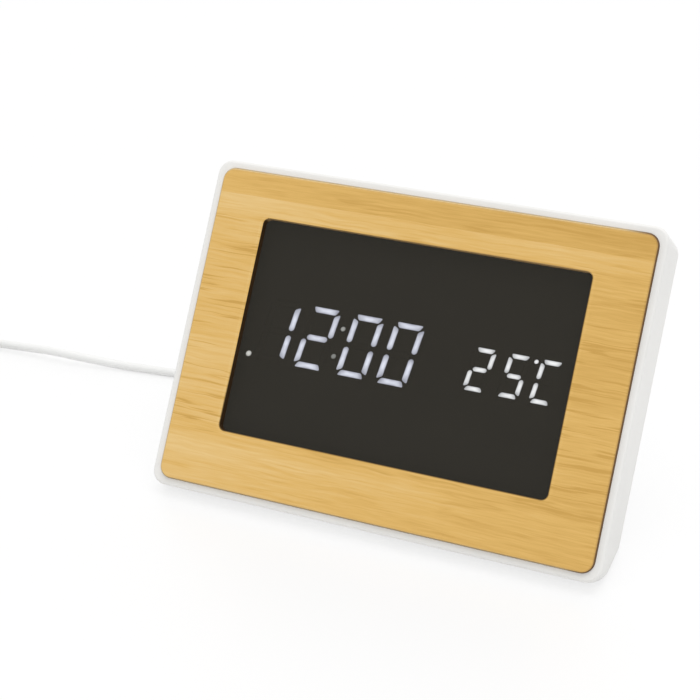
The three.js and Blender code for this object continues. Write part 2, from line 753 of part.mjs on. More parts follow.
leg.position.set(0, hingeDepth, hingeHeight);
leg.rotation.x = legOpen;
const legEnd = LEG_PAD + SEAT_GAP;
const kneeRise = -Math.sqrt(KNUCKLE_RADIUS ** 2 - legInner ** 2);
const heelRise = Math.sqrt(KNUCKLE_RADIUS ** 2 - heelInner ** 2);
const legSide = new THREE.Shape();
legSide.moveTo(heelInner, heelTop);
legSide.lineTo(heelInner, heelRise);
const kneeAngle = Math.atan2(kneeRise, legInner) + 2 * Math.PI;
legSide.absarc(0, 0, KNUCKLE_RADIUS, Math.atan2(heelRise, heelInner), kneeAngle);
legSide.lineTo(legInner, levelInLeg(legEnd, legInner));
legSide.lineTo(legOuter, levelInLeg(legEnd, legOuter));
legSide.lineTo(legOuter, heelTop);
const legBore = new THREE.Path();
legBore.absarc(0, 0, PIN_RADIUS + BORE_GAP, 0, 2 * Math.PI);
legSide.holes.push(legBore);
place(leg, "stand_leg", wide(legSide, LEG_WIDTH), WHITE_ABS);
const padSide = polygon([
  [legInner, levelInLeg(0, legInner)],
  [legOuter, levelInLeg(0, legOuter)],
  [legOuter, levelInLeg(LEG_PAD, legOuter)],
  [legInner, levelInLeg(LEG_PAD, legInner)],
]);
place(leg, "leg_pad", wide(padSide, LEG_WIDTH - 2 * LEG_PAD_INSET), GREY_RUBBER);

const recessWidth = LEG_WIDTH + 2 * LEG_GAP;
const lugWidth = recessWidth + 2 * LUG;
const recessBottom = levelInLeg(0, legOuter) - FINGER_ROOM;
const recessFloor = hingeDepth - KNUCKLE_RADIUS - FLOOR_GAP;
const recessMiddle = hingeHeight + (recessTop + recessBottom) / 2;
const recessHeight = recessTop - recessBottom;
const recess = block(recessWidth, recessHeight, recessFloor, CASE_DEPTH + CUT_THROUGH, 0, recessMiddle);
const recessShell = block(
  lugWidth,
  recessHeight + 2 * BACK_WALL,
  recessFloor - BACK_WALL,
  CASE_DEPTH + CUT_THROUGH,
  0,
  recessMiddle,
);

function pinShape(radius, length) {
  const rod = new THREE.CylinderGeometry(radius, radius, length, SMALL_SIDES).rotateZ(Math.PI / 2);
  return rod.translate(0, hingeDepth, hingeHeight);
}

place(leaning, "hinge_pin", pinShape(PIN_RADIUS, lugWidth), STEEL);

// Case: one deep cup with a rim at the front, a recess for the leg in its back and a flat underside

const footTop = FOOT_THICKNESS + SEAT_GAP;
const beyond = 2 * (caseWidth + CASE_HEIGHT);

// Everything below a level over the table, in the leaning case's frame
function below(level) {
  const ground = new THREE.BoxGeometry(beyond, beyond, beyond);
  return ground.translate(0, 0, level - FRONT_LIFT - beyond / 2).rotateX(LEAN);
}

const caseOutline = roundedRectangle(caseWidth, CASE_HEIGHT, CASE_CORNER, caseMiddle);
const hollowOutline = roundedRectangle(
  caseWidth - 2 * WALL,
  CASE_HEIGHT - 2 * WALL,
  PANEL_CORNER + PANEL_GAP,
  caseMiddle,
);
const rearRounded = plate(caseOutline, -REAR_ROUND - CUT_THROUGH, CASE_DEPTH, REAR_ROUND);
const frontRounded = plate(caseOutline, 0, CASE_DEPTH + REAR_ROUND, FRONT_ROUND);
const tub = solid(rearRounded).intersect(solid(frontRounded));
const hollowRound = REAR_ROUND - WALL;
const tubHollow = cut(
  plate(hollowOutline, -hollowRound - CUT_THROUGH, backInside, hollowRound),
  below(footTop + BACK_WALL),
);
const hollow = cut(tubHollow, recessShell);
const caseScrewHoles = caseScrewHeights.flatMap((z) =>
  [-caseScrewX, caseScrewX].map((x) =>
    drum(SCREW_RADIUS + BORE_GAP, backInside - CUT_THROUGH, CASE_DEPTH + CUT_THROUGH, x, z),
  ),
);
const vents = Array.from({ length: VENT_COUNT }, (_, i) =>
  block(
    VENT_LENGTH,
    VENT_WIDTH,
    backInside - CUT_THROUGH,
    CASE_DEPTH + CUT_THROUGH,
    keyX,
    lowZ + (i - (VENT_COUNT - 1) / 2) * VENT_PITCH,
  ),
);
const soundHoles = [0, 1, 2, 3].map((i) =>
  drum(
    SOUND_HOLE,
    backInside - CUT_THROUGH,
    CASE_DEPTH + CUT_THROUGH,
    cellX + SOUND_RING * Math.cos((i * Math.PI) / 2),
    buzzerZ + SOUND_RING * Math.sin((i * Math.PI) / 2),
    DOT_SIDES,
  ),
);
const cordHole = drum(
  GROMMET_NECK + BORE_GAP,
  backInside - CUT_THROUGH,
  CASE_DEPTH + CUT_THROUGH,
  cellX,
  lowZ,
);
const pinHole = pinShape(PIN_RADIUS + BORE_GAP, lugWidth + 2 * CUT_THROUGH);
const caseBody = cut(
  tub,
  hollow,
  recess,
  pinHole,
  below(footTop),
  capHole,
  cordHole,
  ...keyHoles,
  ...caseScrewHoles,
  ...vents,
  ...soundHoles,
);
place(leaning, "case_shell", caseBody, WHITE_ABS);

// Screws: four hold the chassis in the case, four hold the board on the chassis

function screw(seat, length, x, z) {
  return turned(
    [
      [0, seat - length],
      [SCREW_RADIUS / 2, seat - length],
      [SCREW_RADIUS, seat - length + SCREW_RADIUS],
      [SCREW_RADIUS, seat],
      [SCREW_HEAD, seat],
      [SCREW_HEAD, seat + SCREW_HEAD_HEIGHT / 2],
      [SCREW_HEAD / 2, seat + SCREW_HEAD_HEIGHT],
      [0, seat + SCREW_HEAD_HEIGHT],
    ],
    x,
    z,
    SMALL_SIDES,
  );
}

const CORNERS = [
  ["lower_left", -1, 0],
  ["lower_right", 1, 0],
  ["upper_left", -1, 1],
  ["upper_right", 1, 1],
];
for (const [corner, side, row] of CORNERS) {
  const caseScrew = screw(CASE_DEPTH + SEAT_GAP, CASE_SCREW_LENGTH, side * caseScrewX, caseScrewHeights[row]);
  place(leaning, `case_screw_${corner}`, caseScrew, STEEL);
  const boardScrew = screw(partsFront, BOARD_SCREW_LENGTH, side * bossX, boardScrewHeights[row]);
  place(leaning, `board_screw_${corner}`, boardScrew, STEEL);
}

// Cord entry: a moulded grommet with a tapered tail, over the board's power connector

const collarBack = CASE_DEPTH + 2 * SEAT_GAP + KEY_FLANGE;
const grommetEnd = collarBack + GROMMET_LENGTH;
const grommet = turned(
  [
    [0, flangeFront],
    [GROMMET_COLLAR, flangeFront],
    [GROMMET_COLLAR, flangeBack],
    [GROMMET_NECK, flangeBack],
    [GROMMET_NECK, CASE_DEPTH + SEAT_GAP],
    [GROMMET_COLLAR, CASE_DEPTH + SEAT_GAP],
    [GROMMET_COLLAR, collarBack],
    [GROMMET_NECK, collarBack],
    [GROMMET_TIP, grommetEnd],
    [0, grommetEnd],
  ],
  cellX,
  lowZ,
);
place(leaning, "cord_grommet", grommet, WHITE_VINYL);
const connector = block(
  CONNECTOR_WIDTH,
  CONNECTOR_WIDTH,
  partsFront,
  flangeFront - SEAT_GAP,
  cellX,
  lowZ,
);
place(leaning, "power_connector", connector, CONNECTOR_PLASTIC);

// Feet: two rubber pads under the case's flat underside

const flatFront = ((FRONT_LIFT - footTop) / Math.sin(LEAN)) * Math.cos(LEAN);
const flatRise = (footTop - FRONT_LIFT + CASE_DEPTH * Math.sin(LEAN)) / Math.cos(LEAN);
const flatBack = flatRise * Math.sin(LEAN) + CASE_DEPTH * Math.cos(LEAN);
const footShape = roundedRectangle(FOOT_LENGTH, FOOT_WIDTH, FOOT_WIDTH / 2);
for (const [side, name] of [[-1, "left_foot"], [1, "right_foot"]]) {
  const pad = new THREE.ExtrudeGeometry(footShape, {
    depth: FOOT_THICKNESS,
    bevelEnabled: false,
    curveSegments: CORNER_STEPS,
  });
  const foot = place(clock, name, pad, GREY_RUBBER);
  foot.position.set(side * (caseWidth / 2 - FOOT_INSET), (flatFront + flatBack) / 2, 0);
}

// The origin is on the table under the middle of the clock

const clockMiddle = new THREE.Box3().setFromObject(clock, true).getCenter(new THREE.Vector3());
clock.position.y = -clockMiddle.y;
station.updateMatrixWorld(true);

// Cord: a free stretch from the grommet to the coil, then the coil and the plug beside it

const coilInner = COIL_RADIUS - (COIL_SPACING * COIL_TURNS) / 4;
const coilLow = COIL_LIFT + CORD_DIAMETER / 2;
const plugRise = PLUG_THICKNESS / 2;

// A spiral in and out again: the lower layer closes in, the upper one opens out above it
function coilPoint(turns) {
  const fromMiddle = turns - COIL_TURNS / 2;
  const radius = coilInner + COIL_SPACING * Math.abs(fromMiddle);
  const climb = THREE.MathUtils.clamp(fromMiddle / CLIMB_TURNS + 1 / 2, 0, 1);
  const angle = START_ANGLE + 2 * Math.PI * turns;
  return new THREE.Vector3(
    COIL_CENTRE[0] + radius * Math.cos(angle),
    COIL_CENTRE[1] + radius * Math.sin(angle),
    coilLow + COIL_SPACING * climb,
  );
}

function coilLine(stepsPerTurn) {
  const count = Math.round(COIL_TURNS * stepsPerTurn);
  const turns = Array.from({ length: count + 1 }, (_, i) => coilPoint((COIL_TURNS * i) / count));
  const start = turns[0].clone().add(new THREE.Vector3(CORD_DIAMETER, 0, 0));
  const end = turns[count];
  const slope = TAIL_LENGTH - CORD_DIAMETER;
  const tail = [1 / 4, 1 / 2, 3 / 4, 1].map((share) => {
    const drop = THREE.MathUtils.smoothstep(share, 0, 1) * (end.z - plugRise);
    return end.clone().add(new THREE.Vector3(0, -slope * share, -drop));
  });
  const last = end.clone().setZ(plugRise).add(new THREE.Vector3(0, -TAIL_LENGTH, 0));
  return [start, ...turns, ...tail, last];
}

// A closed tube with level rings along a line of points
function tube(line, radius, sides) {
  const up = new THREE.Vector3(0, 0, 1);
  const positions = [];
  const triangles = [];
  line.forEach((point, i) => {
    const before = line[Math.max(i - 1, 0)];
    const after = line[Math.min(i + 1, line.length - 1)];
    const along = after.clone().sub(before).normalize();
    const across = along.clone().cross(up).normalize();
    const rise = across.clone().cross(along);
    for (let k = 0; k < sides; k += 1) {
      const turn = (2 * Math.PI * k) / sides;
      const corner = point.clone();
      corner.addScaledVector(across, radius * Math.cos(turn)).addScaledVector(rise, radius * Math.sin(turn));
      positions.push(...corner);
    }
  });
  for (let i = 0; i + 1 < line.length; i += 1) {
    for (let k = 0; k < sides; k += 1) {
      const a = i * sides + k;
      const b = i * sides + ((k + 1) % sides);
      triangles.push(a, a + sides, b, b, a + sides, b + sides);
    }
  }
  const lastRing = (line.length - 1) * sides;
  for (let k = 1; k + 1 < sides; k += 1) {
    triangles.push(0, k, k + 1, lastRing, lastRing + k + 1, lastRing + k);
  }
  const geometry = new THREE.BufferGeometry();
  geometry.setAttribute("position", new THREE.Float32BufferAttribute(positions, 3));
  geometry.setIndex(triangles);
  return geometry;
}

const cordExit = leaning.localToWorld(new THREE.Vector3(cellX, grommetEnd + SEAT_GAP, lowZ));
const cordAhead = leaning.localToWorld(new THREE.Vector3(cellX, grommetEnd + CORD_DIAMETER, lowZ));
const coilStart = coilLine(COIL_STEPS)[0];
const routeEnd = [2 * CORD_DIAMETER, SEAT_GAP].map((back) =>
  coilStart.clone().add(new THREE.Vector3(back, 0, 0)),
);
const route = CORD_ROUTE.map((point) => new THREE.Vector3(...point));
const cordPath = new THREE.CatmullRomCurve3([cordExit, cordAhead, ...route, ...routeEnd]);
const cordSection = new THREE.Shape();
for (let k = 0; k < CORD_SIDES; k += 1) {
  const turn = (2 * Math.PI * k) / CORD_SIDES;
  const corner = [(CORD_DIAMETER / 2) * Math.cos(turn), (CORD_DIAMETER / 2) * Math.sin(turn)];
  if (k === 0) cordSection.moveTo(...corner);
  else cordSection.lineTo(...corner);
}
const cordTube = new THREE.ExtrudeGeometry(cordSection, { steps: CORD_STEPS, extrudePath: cordPath });
place(station, "cord", cordTube, WHITE_VINYL);
place(station, "cord_coil", tube(coilLine(COIL_STEPS), CORD_DIAMETER / 2, COIL_SIDES), WHITE_VINYL);

// The coil's least gap to itself, between points at least half a turn apart
const samples = MEASURED_STEPS * COIL_TURNS;
const measured = Array.from({ length: samples }, (_, i) => coilPoint(i / MEASURED_STEPS));
let leastGap = Infinity;
measured.forEach((point, i) => {
  for (const other of measured.slice(i + MEASURED_STEPS / 2)) {
    leastGap = Math.min(leastGap, point.distanceTo(other) - CORD_DIAMETER);
  }
});
console.log(`least gap between the coil's turns: ${leastGap.toFixed(2)} mm`);

// Tie: a strap round the coil's turns, at the side away from the clock
const tieAngle = START_ANGLE + 2 * Math.PI * TIE_TURN;
const outerTurn = coilInner + COIL_SPACING * (COIL_TURNS / 2 - TIE_TURN);
const nearestInner = Math.round(COIL_TURNS / 2 - TIE_TURN) + TIE_TURN - COIL_TURNS / 2;
const innerTurn = coilInner + COIL_SPACING * Math.abs(nearestInner);
const innerBow = innerTurn - Math.sqrt(innerTurn ** 2 - (TIE_WIDTH / 2) ** 2);
const tieInner = innerTurn - innerBow - CORD_DIAMETER / 2 - SEAT_GAP;
const tieOuter = outerTurn + CORD_DIAMETER / 2 + SEAT_GAP;
const tieTop = coilLow + COIL_SPACING + CORD_DIAMETER / 2 + SEAT_GAP;
const tieHeight = tieTop - TIE_THICKNESS;
const strap = roundedRectangle(
  tieOuter - tieInner + 2 * TIE_THICKNESS,
  tieHeight + 2 * TIE_THICKNESS,
  2 * TIE_THICKNESS,
);
strap.holes.push(roundedRectangle(tieOuter - tieInner, tieHeight, TIE_THICKNESS));
const tie = place(station, "coil_tie", plate(strap, -TIE_WIDTH / 2, TIE_WIDTH / 2), GREY_RUBBER);
tie.rotation.z = tieAngle;
tie.position.set(
  COIL_CENTRE[0] + ((tieInner + tieOuter) / 2) * Math.cos(tieAngle),
  COIL_CENTRE[1] + ((tieInner + tieOuter) / 2) * Math.sin(tieAngle),
  TIE_THICKNESS + tieHeight / 2,
);

// Plug: a moulded body with a tapered relief, a steel shell and the tongue inside it

const plug = new THREE.Group();
const coilEnd = coilLine(COIL_STEPS).at(-1);
plug.position.copy(coilEnd);
station.add(plug);
const reliefEnd = -SEAT_GAP - RELIEF_LENGTH;
const plugEnd = reliefEnd - PLUG_LENGTH;
const relief = turned([
  [0, reliefEnd - PLUG_ROUND],
  [RELIEF_WIDE, reliefEnd - PLUG_ROUND],
  [RELIEF_WIDE, reliefEnd],
  [RELIEF_TIP, -SEAT_GAP],
  [0, -SEAT_GAP],
]);
const grip = plate(roundedRectangle(PLUG_WIDTH, PLUG_THICKNESS, PLUG_CORNER), plugEnd, reliefEnd, PLUG_ROUND);
place(plug, "plug_body", join(grip, relief), WHITE_VINYL);
const contactBack = plugEnd - SEAT_GAP;
const contactFront = contactBack - CONTACT_LENGTH;
const shellShape = roundedRectangle(CONTACT_WIDTH, CONTACT_HEIGHT, 2 * CONTACT_WALL);
const shellInside = CONTACT_HEIGHT - 2 * CONTACT_WALL;
shellShape.holes.push(
  roundedRectangle(CONTACT_WIDTH - 2 * CONTACT_WALL, shellInside, CONTACT_WALL),
);
place(plug, "plug_shell", plate(shellShape, contactFront, contactBack), STEEL);
const tongue = block(
  CONTACT_WIDTH - 2 * (CONTACT_WALL + SEAT_GAP),
  TONGUE_HEIGHT,
  contactFront + SEAT_GAP,
  contactBack,
  0,
  (TONGUE_HEIGHT - shellInside) / 2 + SEAT_GAP,
);
place(plug, "plug_tongue", tongue, CONNECTOR_PLASTIC);

export default station;
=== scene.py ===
"""A digital weather station: a leaning desk clock with a bamboo front, a smoked window over lit digits,
a white moulded case, a fold-out leg behind it and a supply cord. Metres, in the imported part's own frame.
"""

import json
import math

import bmesh
import bpy
from mathutils import Matrix, Vector

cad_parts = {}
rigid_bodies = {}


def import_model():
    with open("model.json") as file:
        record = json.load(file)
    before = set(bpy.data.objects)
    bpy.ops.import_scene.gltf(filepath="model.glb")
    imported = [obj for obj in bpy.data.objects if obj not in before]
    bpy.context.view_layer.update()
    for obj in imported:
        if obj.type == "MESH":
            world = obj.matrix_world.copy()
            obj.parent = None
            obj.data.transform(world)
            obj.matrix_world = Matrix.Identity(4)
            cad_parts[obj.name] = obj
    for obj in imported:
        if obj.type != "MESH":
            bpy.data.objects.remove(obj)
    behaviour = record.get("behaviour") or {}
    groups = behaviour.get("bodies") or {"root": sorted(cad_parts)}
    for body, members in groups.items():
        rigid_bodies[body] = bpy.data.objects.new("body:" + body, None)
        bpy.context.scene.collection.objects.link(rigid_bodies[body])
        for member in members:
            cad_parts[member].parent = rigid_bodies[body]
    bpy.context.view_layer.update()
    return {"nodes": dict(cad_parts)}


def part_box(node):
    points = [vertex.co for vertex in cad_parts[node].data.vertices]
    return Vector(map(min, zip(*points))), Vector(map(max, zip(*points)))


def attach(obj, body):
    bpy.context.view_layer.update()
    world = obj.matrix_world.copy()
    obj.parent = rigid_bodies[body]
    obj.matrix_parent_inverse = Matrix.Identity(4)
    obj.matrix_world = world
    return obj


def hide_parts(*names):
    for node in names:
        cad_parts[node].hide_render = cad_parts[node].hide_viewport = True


for leftover in list(bpy.data.objects):
    bpy.data.objects.remove(leftover)
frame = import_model()
scene = bpy.context.scene
MM = 0.001

# The camera stands in front of the clock, to its right and above it, at the photograph's distance.
# Its lens makes an image 700 pixels wide with a focal length of 1600 of those pixels.
CAMERA_PLACE = (151.83 * MM, -424.46 * MM, 292.32 * MM)
CAMERA_TURN = math.radians(22.1645)
CAMERA_ELEVATION = math.radians(28.4605)
SENSOR_WIDTH = 36.0
FOCAL_SHARE = 1600 / 700


def put(name, data):
    """A new object in the scene."""
    made = bpy.data.objects.new(name, data)
    scene.collection.objects.link(made)
    return made


camera = put("photo_camera", bpy.data.cameras.new("photo_camera"))
camera.location = CAMERA_PLACE
camera.rotation_euler = (math.pi / 2 - CAMERA_ELEVATION, 0, CAMERA_TURN)
camera.data.sensor_width = SENSOR_WIDTH
camera.data.lens = SENSOR_WIDTH * FOCAL_SHARE
scene.camera = camera
scene.view_settings.view_transform = "Standard"


# The table is a plain white sheet with a slight gloss, so that it keeps a faint shadow and reflection.
# The studio is an even pale room with one large lamp almost straight above the clock.
class Socket:
    """A node's output, which sums, products and steps turn into Math nodes."""

    def __init__(self, tree, output=None):
        self.tree = tree
        self.output = output

    def node(self, kind, settings=None, inputs=None, output=0):
        """One output of a new node, whose settings are set before its sockets."""
        made = self.tree.nodes.new(kind)
        for name, value in (settings or {}).items():
            if name == "stops":
                ramp = made.color_ramp
                while len(ramp.elements) < len(value):
                    ramp.elements.new(1)
                for stop, (position, colour) in zip(ramp.elements, value):
                    stop.position = position
                    stop.color = (*colour, 1)
            elif name == "between_stops":
                made.color_ramp.interpolation = value
            else:
                setattr(made, name, value)
        for name, value in (inputs or {}).items():
            if isinstance(value, Socket):
                self.tree.links.new(value.output, made.inputs[name])
            else:
                made.inputs[name].default_value = value
        return Socket(self.tree, made.outputs[output] if made.outputs else None)

    def maths(self, operation, first, second=0.0):
        return self.node("ShaderNodeMath", {"operation": operation}, {0: first, 1: second})

    def __add__(self, other):
        return self.maths("ADD", self, other)

    def __sub__(self, other):
        return self.maths("SUBTRACT", self, other)

    def __rsub__(self, other):
        return self.maths("SUBTRACT", other, self)

    def __mul__(self, other):
        return self.maths("MULTIPLY", self, other)

    def __truediv__(self, other):
        return self.maths("DIVIDE", self, other)

    def __abs__(self):
        return self.maths("ABSOLUTE", self)

    __radd__ = __add__
    __rmul__ = __mul__

    def most(self, other):
        return self.maths("MAXIMUM", self, other)

    def least(self, other):
        return self.maths("MINIMUM", self, other)

    def root(self):
        return self.maths("SQRT", self)

    def swing(self):
        """How far noise is from its middle value."""
        return self - 0.5

    def step(self, low, high):
        """Rises smoothly from 0 at low to 1 at high."""
        return self.node(
            "ShaderNodeMapRange",
            {"interpolation_type": "SMOOTHSTEP"},
            {"Value": self, "From Min": low, "From Max": high},
        )

    def band(self, rise, fall):
        """Rises to 1 over the first range and falls back to 0 over the second."""
        return self.step(*rise) * (1 - self.step(*fall))

    def mix(self, first, second):
        """Goes from the first colour to the second as this value goes from 0 to 1.

        A Mix node's colours are its inputs 6 and 7, and the mixed colour is its output 2.
        """
        colours = [c if isinstance(c, Socket) else (*c, 1) for c in (first, second)]
        return self.node(
            "ShaderNodeMix",
            {"data_type": "RGBA"},
            {0: self, 6: colours[0], 7: colours[1]},
            output=2,
        )

    def noise(self, stretch, detail=2.0, roughness=0.5):
        """Soft noise at this place, with so many swells to a millimetre along each direction."""
        scaled = self.node(
            "ShaderNodeMapping", {}, {"Vector": self, "Scale": [s / MM for s in stretch]}
        )
        return self.node(
            "ShaderNodeTexNoise",
            {},
            {"Vector": scaled, "Scale": 1.0, "Detail": detail, "Roughness": roughness},
        )

    def bump(self, depth, strength=1.0):
        """A normal that follows this value as a height, from 0 to the depth."""
        return self.node(
            "ShaderNodeBump", {}, {"Height": self, "Distance": depth, "Strength": strength}, "Normal"
        )


def new_finish(name):
    """A material without nodes yet, and the place on the piece that its nodes start from."""
    material = bpy.data.materials.new(name)
    material.use_nodes = True
    material.node_tree.nodes.clear()
    place = Socket(material.node_tree).node("ShaderNodeTexCoord", output="Object")
    return material, place


def close_finish(place, inputs):
    """Ends a material with one shader that takes these inputs."""
    shader = place.node("ShaderNodeBsdfPrincipled", {}, inputs)
    place.node("ShaderNodeOutputMaterial", {}, {"Surface": shader})


WHITE = (1, 1, 1, 1)
ROOM_LIGHT = 0.78
LAMP_TOWARDS = Vector((0.08, 0.10, 0.95))
LAMP_STRENGTH = 1.2
LAMP_SPREAD = math.radians(42)
TABLE_WHITE = (0.86, 0.86, 0.86)
TABLE_SHADE = [0.99 * c for c in TABLE_WHITE]
TABLE_CLOUDS = (0.01, 0.01, 0.01)
TABLE_REACH = 6.0
TABLE_GLOSS = 0.07
TABLE_ROUGHNESS = 0.4
SHADOW_LIFT = 0.82

world = bpy.data.worlds.new("pale_room")
world.use_nodes = True
world.node_tree.nodes.clear()
air = Socket(world.node_tree)
looked_at, mirrored, seen_through = [
    air.node("ShaderNodeLightPath", output=f"Is {kind} Ray")
    for kind in ("Camera", "Glossy", "Transmission")
]
brightness = ROOM_LIGHT + (1 - ROOM_LIGHT) * looked_at.most(mirrored).most(seen_through)
room = air.node("ShaderNodeBackground", {}, {"Color": WHITE, "Strength": brightness})
air.node("ShaderNodeOutputWorld", {}, {"Surface": room})
scene.world = world

lamp = put("large_lamp", bpy.data.lights.new("large_lamp", "SUN"))
lamp.data.energy = LAMP_STRENGTH
lamp.data.angle = LAMP_SPREAD
lamp.rotation_euler = LAMP_TOWARDS.to_track_quat("Z", "Y").to_euler()

table_finish, place = new_finish("white_table")
cloud = place.noise(TABLE_CLOUDS)
paper = place.node("ShaderNodeBsdfDiffuse", {}, {"Color": cloud.mix(TABLE_WHITE, TABLE_SHADE)})
glow = place.node("ShaderNodeEmission", {}, {"Color": WHITE, "Strength": 1.0})
table_looked_at = place.node("ShaderNodeLightPath", output="Is Camera Ray")
lifted = place.node("ShaderNodeMixShader", {}, {0: table_looked_at * SHADOW_LIFT, 1: paper, 2: glow})
mirror = place.node(
    "ShaderNodeBsdfPrincipled", {}, {"Base Color": WHITE, "Metallic": 1.0, "Roughness": TABLE_ROUGHNESS}
)
glossy = place.node("ShaderNodeMixShader", {}, {0: TABLE_GLOSS, 1: lifted, 2: mirror})
place.node("ShaderNodeOutputMaterial", {}, {"Surface": glossy})

sheet = bmesh.new()
bmesh.ops.create_grid(sheet, x_segments=4, y_segments=4, size=TABLE_REACH / 2)
table_mesh = bpy.data.meshes.new("table_top")
sheet.to_mesh(table_mesh)
sheet.free()
table = put("table_top", table_mesh)
table.data.materials.append(table_finish)

# The case is one white moulding with a fine matt grain: a deep cup whose rim shows round the bamboo.
# Its flat back has openings for the keys, battery cap, leg, vents and cord, and screws hold it.
KEEN_EDGE = math.radians(30)
FLAT_ANGLE = math.radians(0.5)
SAME_POINT = 0.002 * MM
TONE_DRIFT = (0.03, 0.03, 0.03)
TONE_RANGE = (0.3, 0.7)
GLOSS_SPREAD = 0.12


def node_shape(node):
    """A new mesh with a CAD node's shape, its doubled points joined."""
    shape = bmesh.new()
    shape.from_mesh(frame["nodes"][node].data)
    bmesh.ops.remove_doubles(shape, verts=shape.verts, dist=SAME_POINT)
    return shape


def ease(shape, lines, width, segments=2):
    """Rounds lines of a mesh off by a small width."""
    bmesh.ops.bevel(
        shape,
        geom=lines,
        offset=width,
        offset_type="OFFSET",
        segments=segments,
        profile=0.5,
        affect="EDGES",
    )


def eased_copy(node, name, body, slot, finish, edge):
    """A piece with a CAD node's shape, its sharp edges rounded off by a small width."""
    shape = node_shape(node)
    bmesh.ops.dissolve_limit(shape, angle_limit=FLAT_ANGLE, verts=shape.verts, edges=shape.edges)
    keen = [line for line in shape.edges if line.is_manifold and line.calc_face_angle() > KEEN_EDGE]
    ease(shape, keen, edge)
    return shaped_piece(shape, name, body, slot, finish, node)


def shaped_piece(shape, name, body, slot, finish, *nodes, stand=None):
    """Ends a mesh as a smooth piece that rides on a body and stands for its CAD nodes."""
    for side in shape.faces:
        side.smooth = True
    for line in shape.edges:
        line.smooth = line.is_manifold and line.calc_face_angle() < KEEN_EDGE
    mesh = bpy.data.meshes.new(name)
    shape.to_mesh(mesh)
    shape.free()
    mesh.materials.append(finish)
    piece = put(name, mesh)
    weighted = piece.modifiers.new("even_faces", "WEIGHTED_NORMAL")
    weighted.keep_sharp = True
    if stand:
        piece.matrix_world = stand
    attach(piece, body)
    if nodes:
        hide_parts(*nodes)
    return piece


def moulded(name, pale, deep, roughness, grain, depth):
    """Plastic or rubber: a slow drift between two tones, and a fine grain from the tool it was made in."""
    material, place = new_finish(name)
    drift = place.noise(TONE_DRIFT, detail=3)
    fine = place.noise((grain, grain, grain), detail=2)
    close_finish(
        place,
        {
            "Base Color": drift.step(*TONE_RANGE).mix(pale, deep),
            "Roughness": roughness + GLOSS_SPREAD * fine.swing(),
            "Normal": fine.bump(depth),
        },
    )
    return material


case_white = moulded(
    "case_white",
    pale=(0.835, 0.828, 0.806),
    deep=(0.812, 0.806, 0.785),
    roughness=0.45,
    grain=3.0,
    depth=0.006 * MM,
)
eased_copy("case_shell", "case_moulding", "clock", "case_white", case_white, edge=0.15 * MM)

# The front is a board of bamboo strips glued edge to edge, lacquered, cut by laser and glued in.
# The cut spreads towards the back, so the sides flare out almost to the rim.
# It leaves them pale at the left and top, brown at the right, and charred round the window, whose top
# reveal is coloured a lighter brown.
LEAN = math.radians(33.6)
PANEL_THICKNESS = 3.0 * MM
PANEL_PROUD = 1.2 * MM
PANEL_CORNER = 3.75 * MM
PANEL_EASE = 0.18 * MM
EASE_SHARE = 1 - math.sqrt(0.5)
FACE_TRIM = 0.12 * MM
FACE_SHIFT = (0.12 * MM, -0.15 * MM)
FLARE = 0.3 * MM
WINDOW_WIDTH = 110.0 * MM
WINDOW_HEIGHT = 70.65 * MM
WINDOW_RISE = 18.55 * MM
WINDOW_CORNER = 2.1 * MM
CORNER_STEPS = 10
# Where each strip starts above the panel's lower edge, in millimetres, and how pale it is
STRIPS = (
    (0, 0.54), (15.4, 0.42), (20.2, 0.56), (32.9, 0.56), (47.0, 0.44), (57.5, 0.46), (66.9, 0.47),
    (81.7, 0.53), (89.9, 0.70), (95.4, 0.30),
)
SEAMS = (32.9, 66.9, 81.7)
SEAM_WIDTH = (0.1, 0.45)
# A paler band near the lower edge fades to the right, and most veins lie between two rises
PALE_BAND = ((8.4, 9.4), (13.4, 14.4))
PALE_FADE = (-20, 40)
VEINED = ((14, 22), (84, 92))
VEIN_WIDTH = 0.05
# Noise in the wood: swells to a millimetre along the strips, across them and through the board
SLOW_WAVE = (0.018, 0.03, 0.03)
QUICK_WAVE = (0.10, 0.18, 0.05)
BROAD_FIBRE = (0.010, 0.30, 0.1)
LONG_FIBRE = (0.045, 1.1, 0.2)
FINE_FIBRE = (0.11, 2.6, 0.4)
CLOUDS = (0.015, 0.06, 0.02)
VEINS = (0.012, 0.42, 0.1)
VEIN_BREAKS = (0.045, 0.30, 0.1)
VEIN_GATE = (0.45, 0.6)
SEAM_BREAKS = (0.02, 0.02, 0.02)
SEAM_GATE = (0.35, 0.6)
# How far the waves bend the fibres, in millimetres, and how much of that the strips and seams follow
SLOW_BEND = 2.2
QUICK_BEND = 0.9
STRIP_BEND = 0.2
SEAM_BEND = 0.5
# How much each of these changes the tone, and the change for each millimetre to the right
PALE_TONE = 0.16
BROAD_TONE = 0.4
LONG_TONE = 0.9
FINE_TONE = 0.45
CLOUD_TONE = 0.4
VEIN_TONE = 0.25
BUSY_VEIN_TONE = 0.45
SEAM_TONE = 0.45
HIGHLIGHT_TONE = 0.1
SIDE_TONE = 0.0022
HONEY = (0.590, 0.345, 0.080)
STRAW = (0.725, 0.450, 0.130)
CREAM = (0.790, 0.545, 0.225)
CHARRED = (0.040, 0.017, 0.002)
TOP_REVEAL_BROWN = (0.38, 0.24, 0.10)
BROWN_CUT = (0.17, 0.085, 0.025)
PALE_CUT = (0.60, 0.44, 0.22)
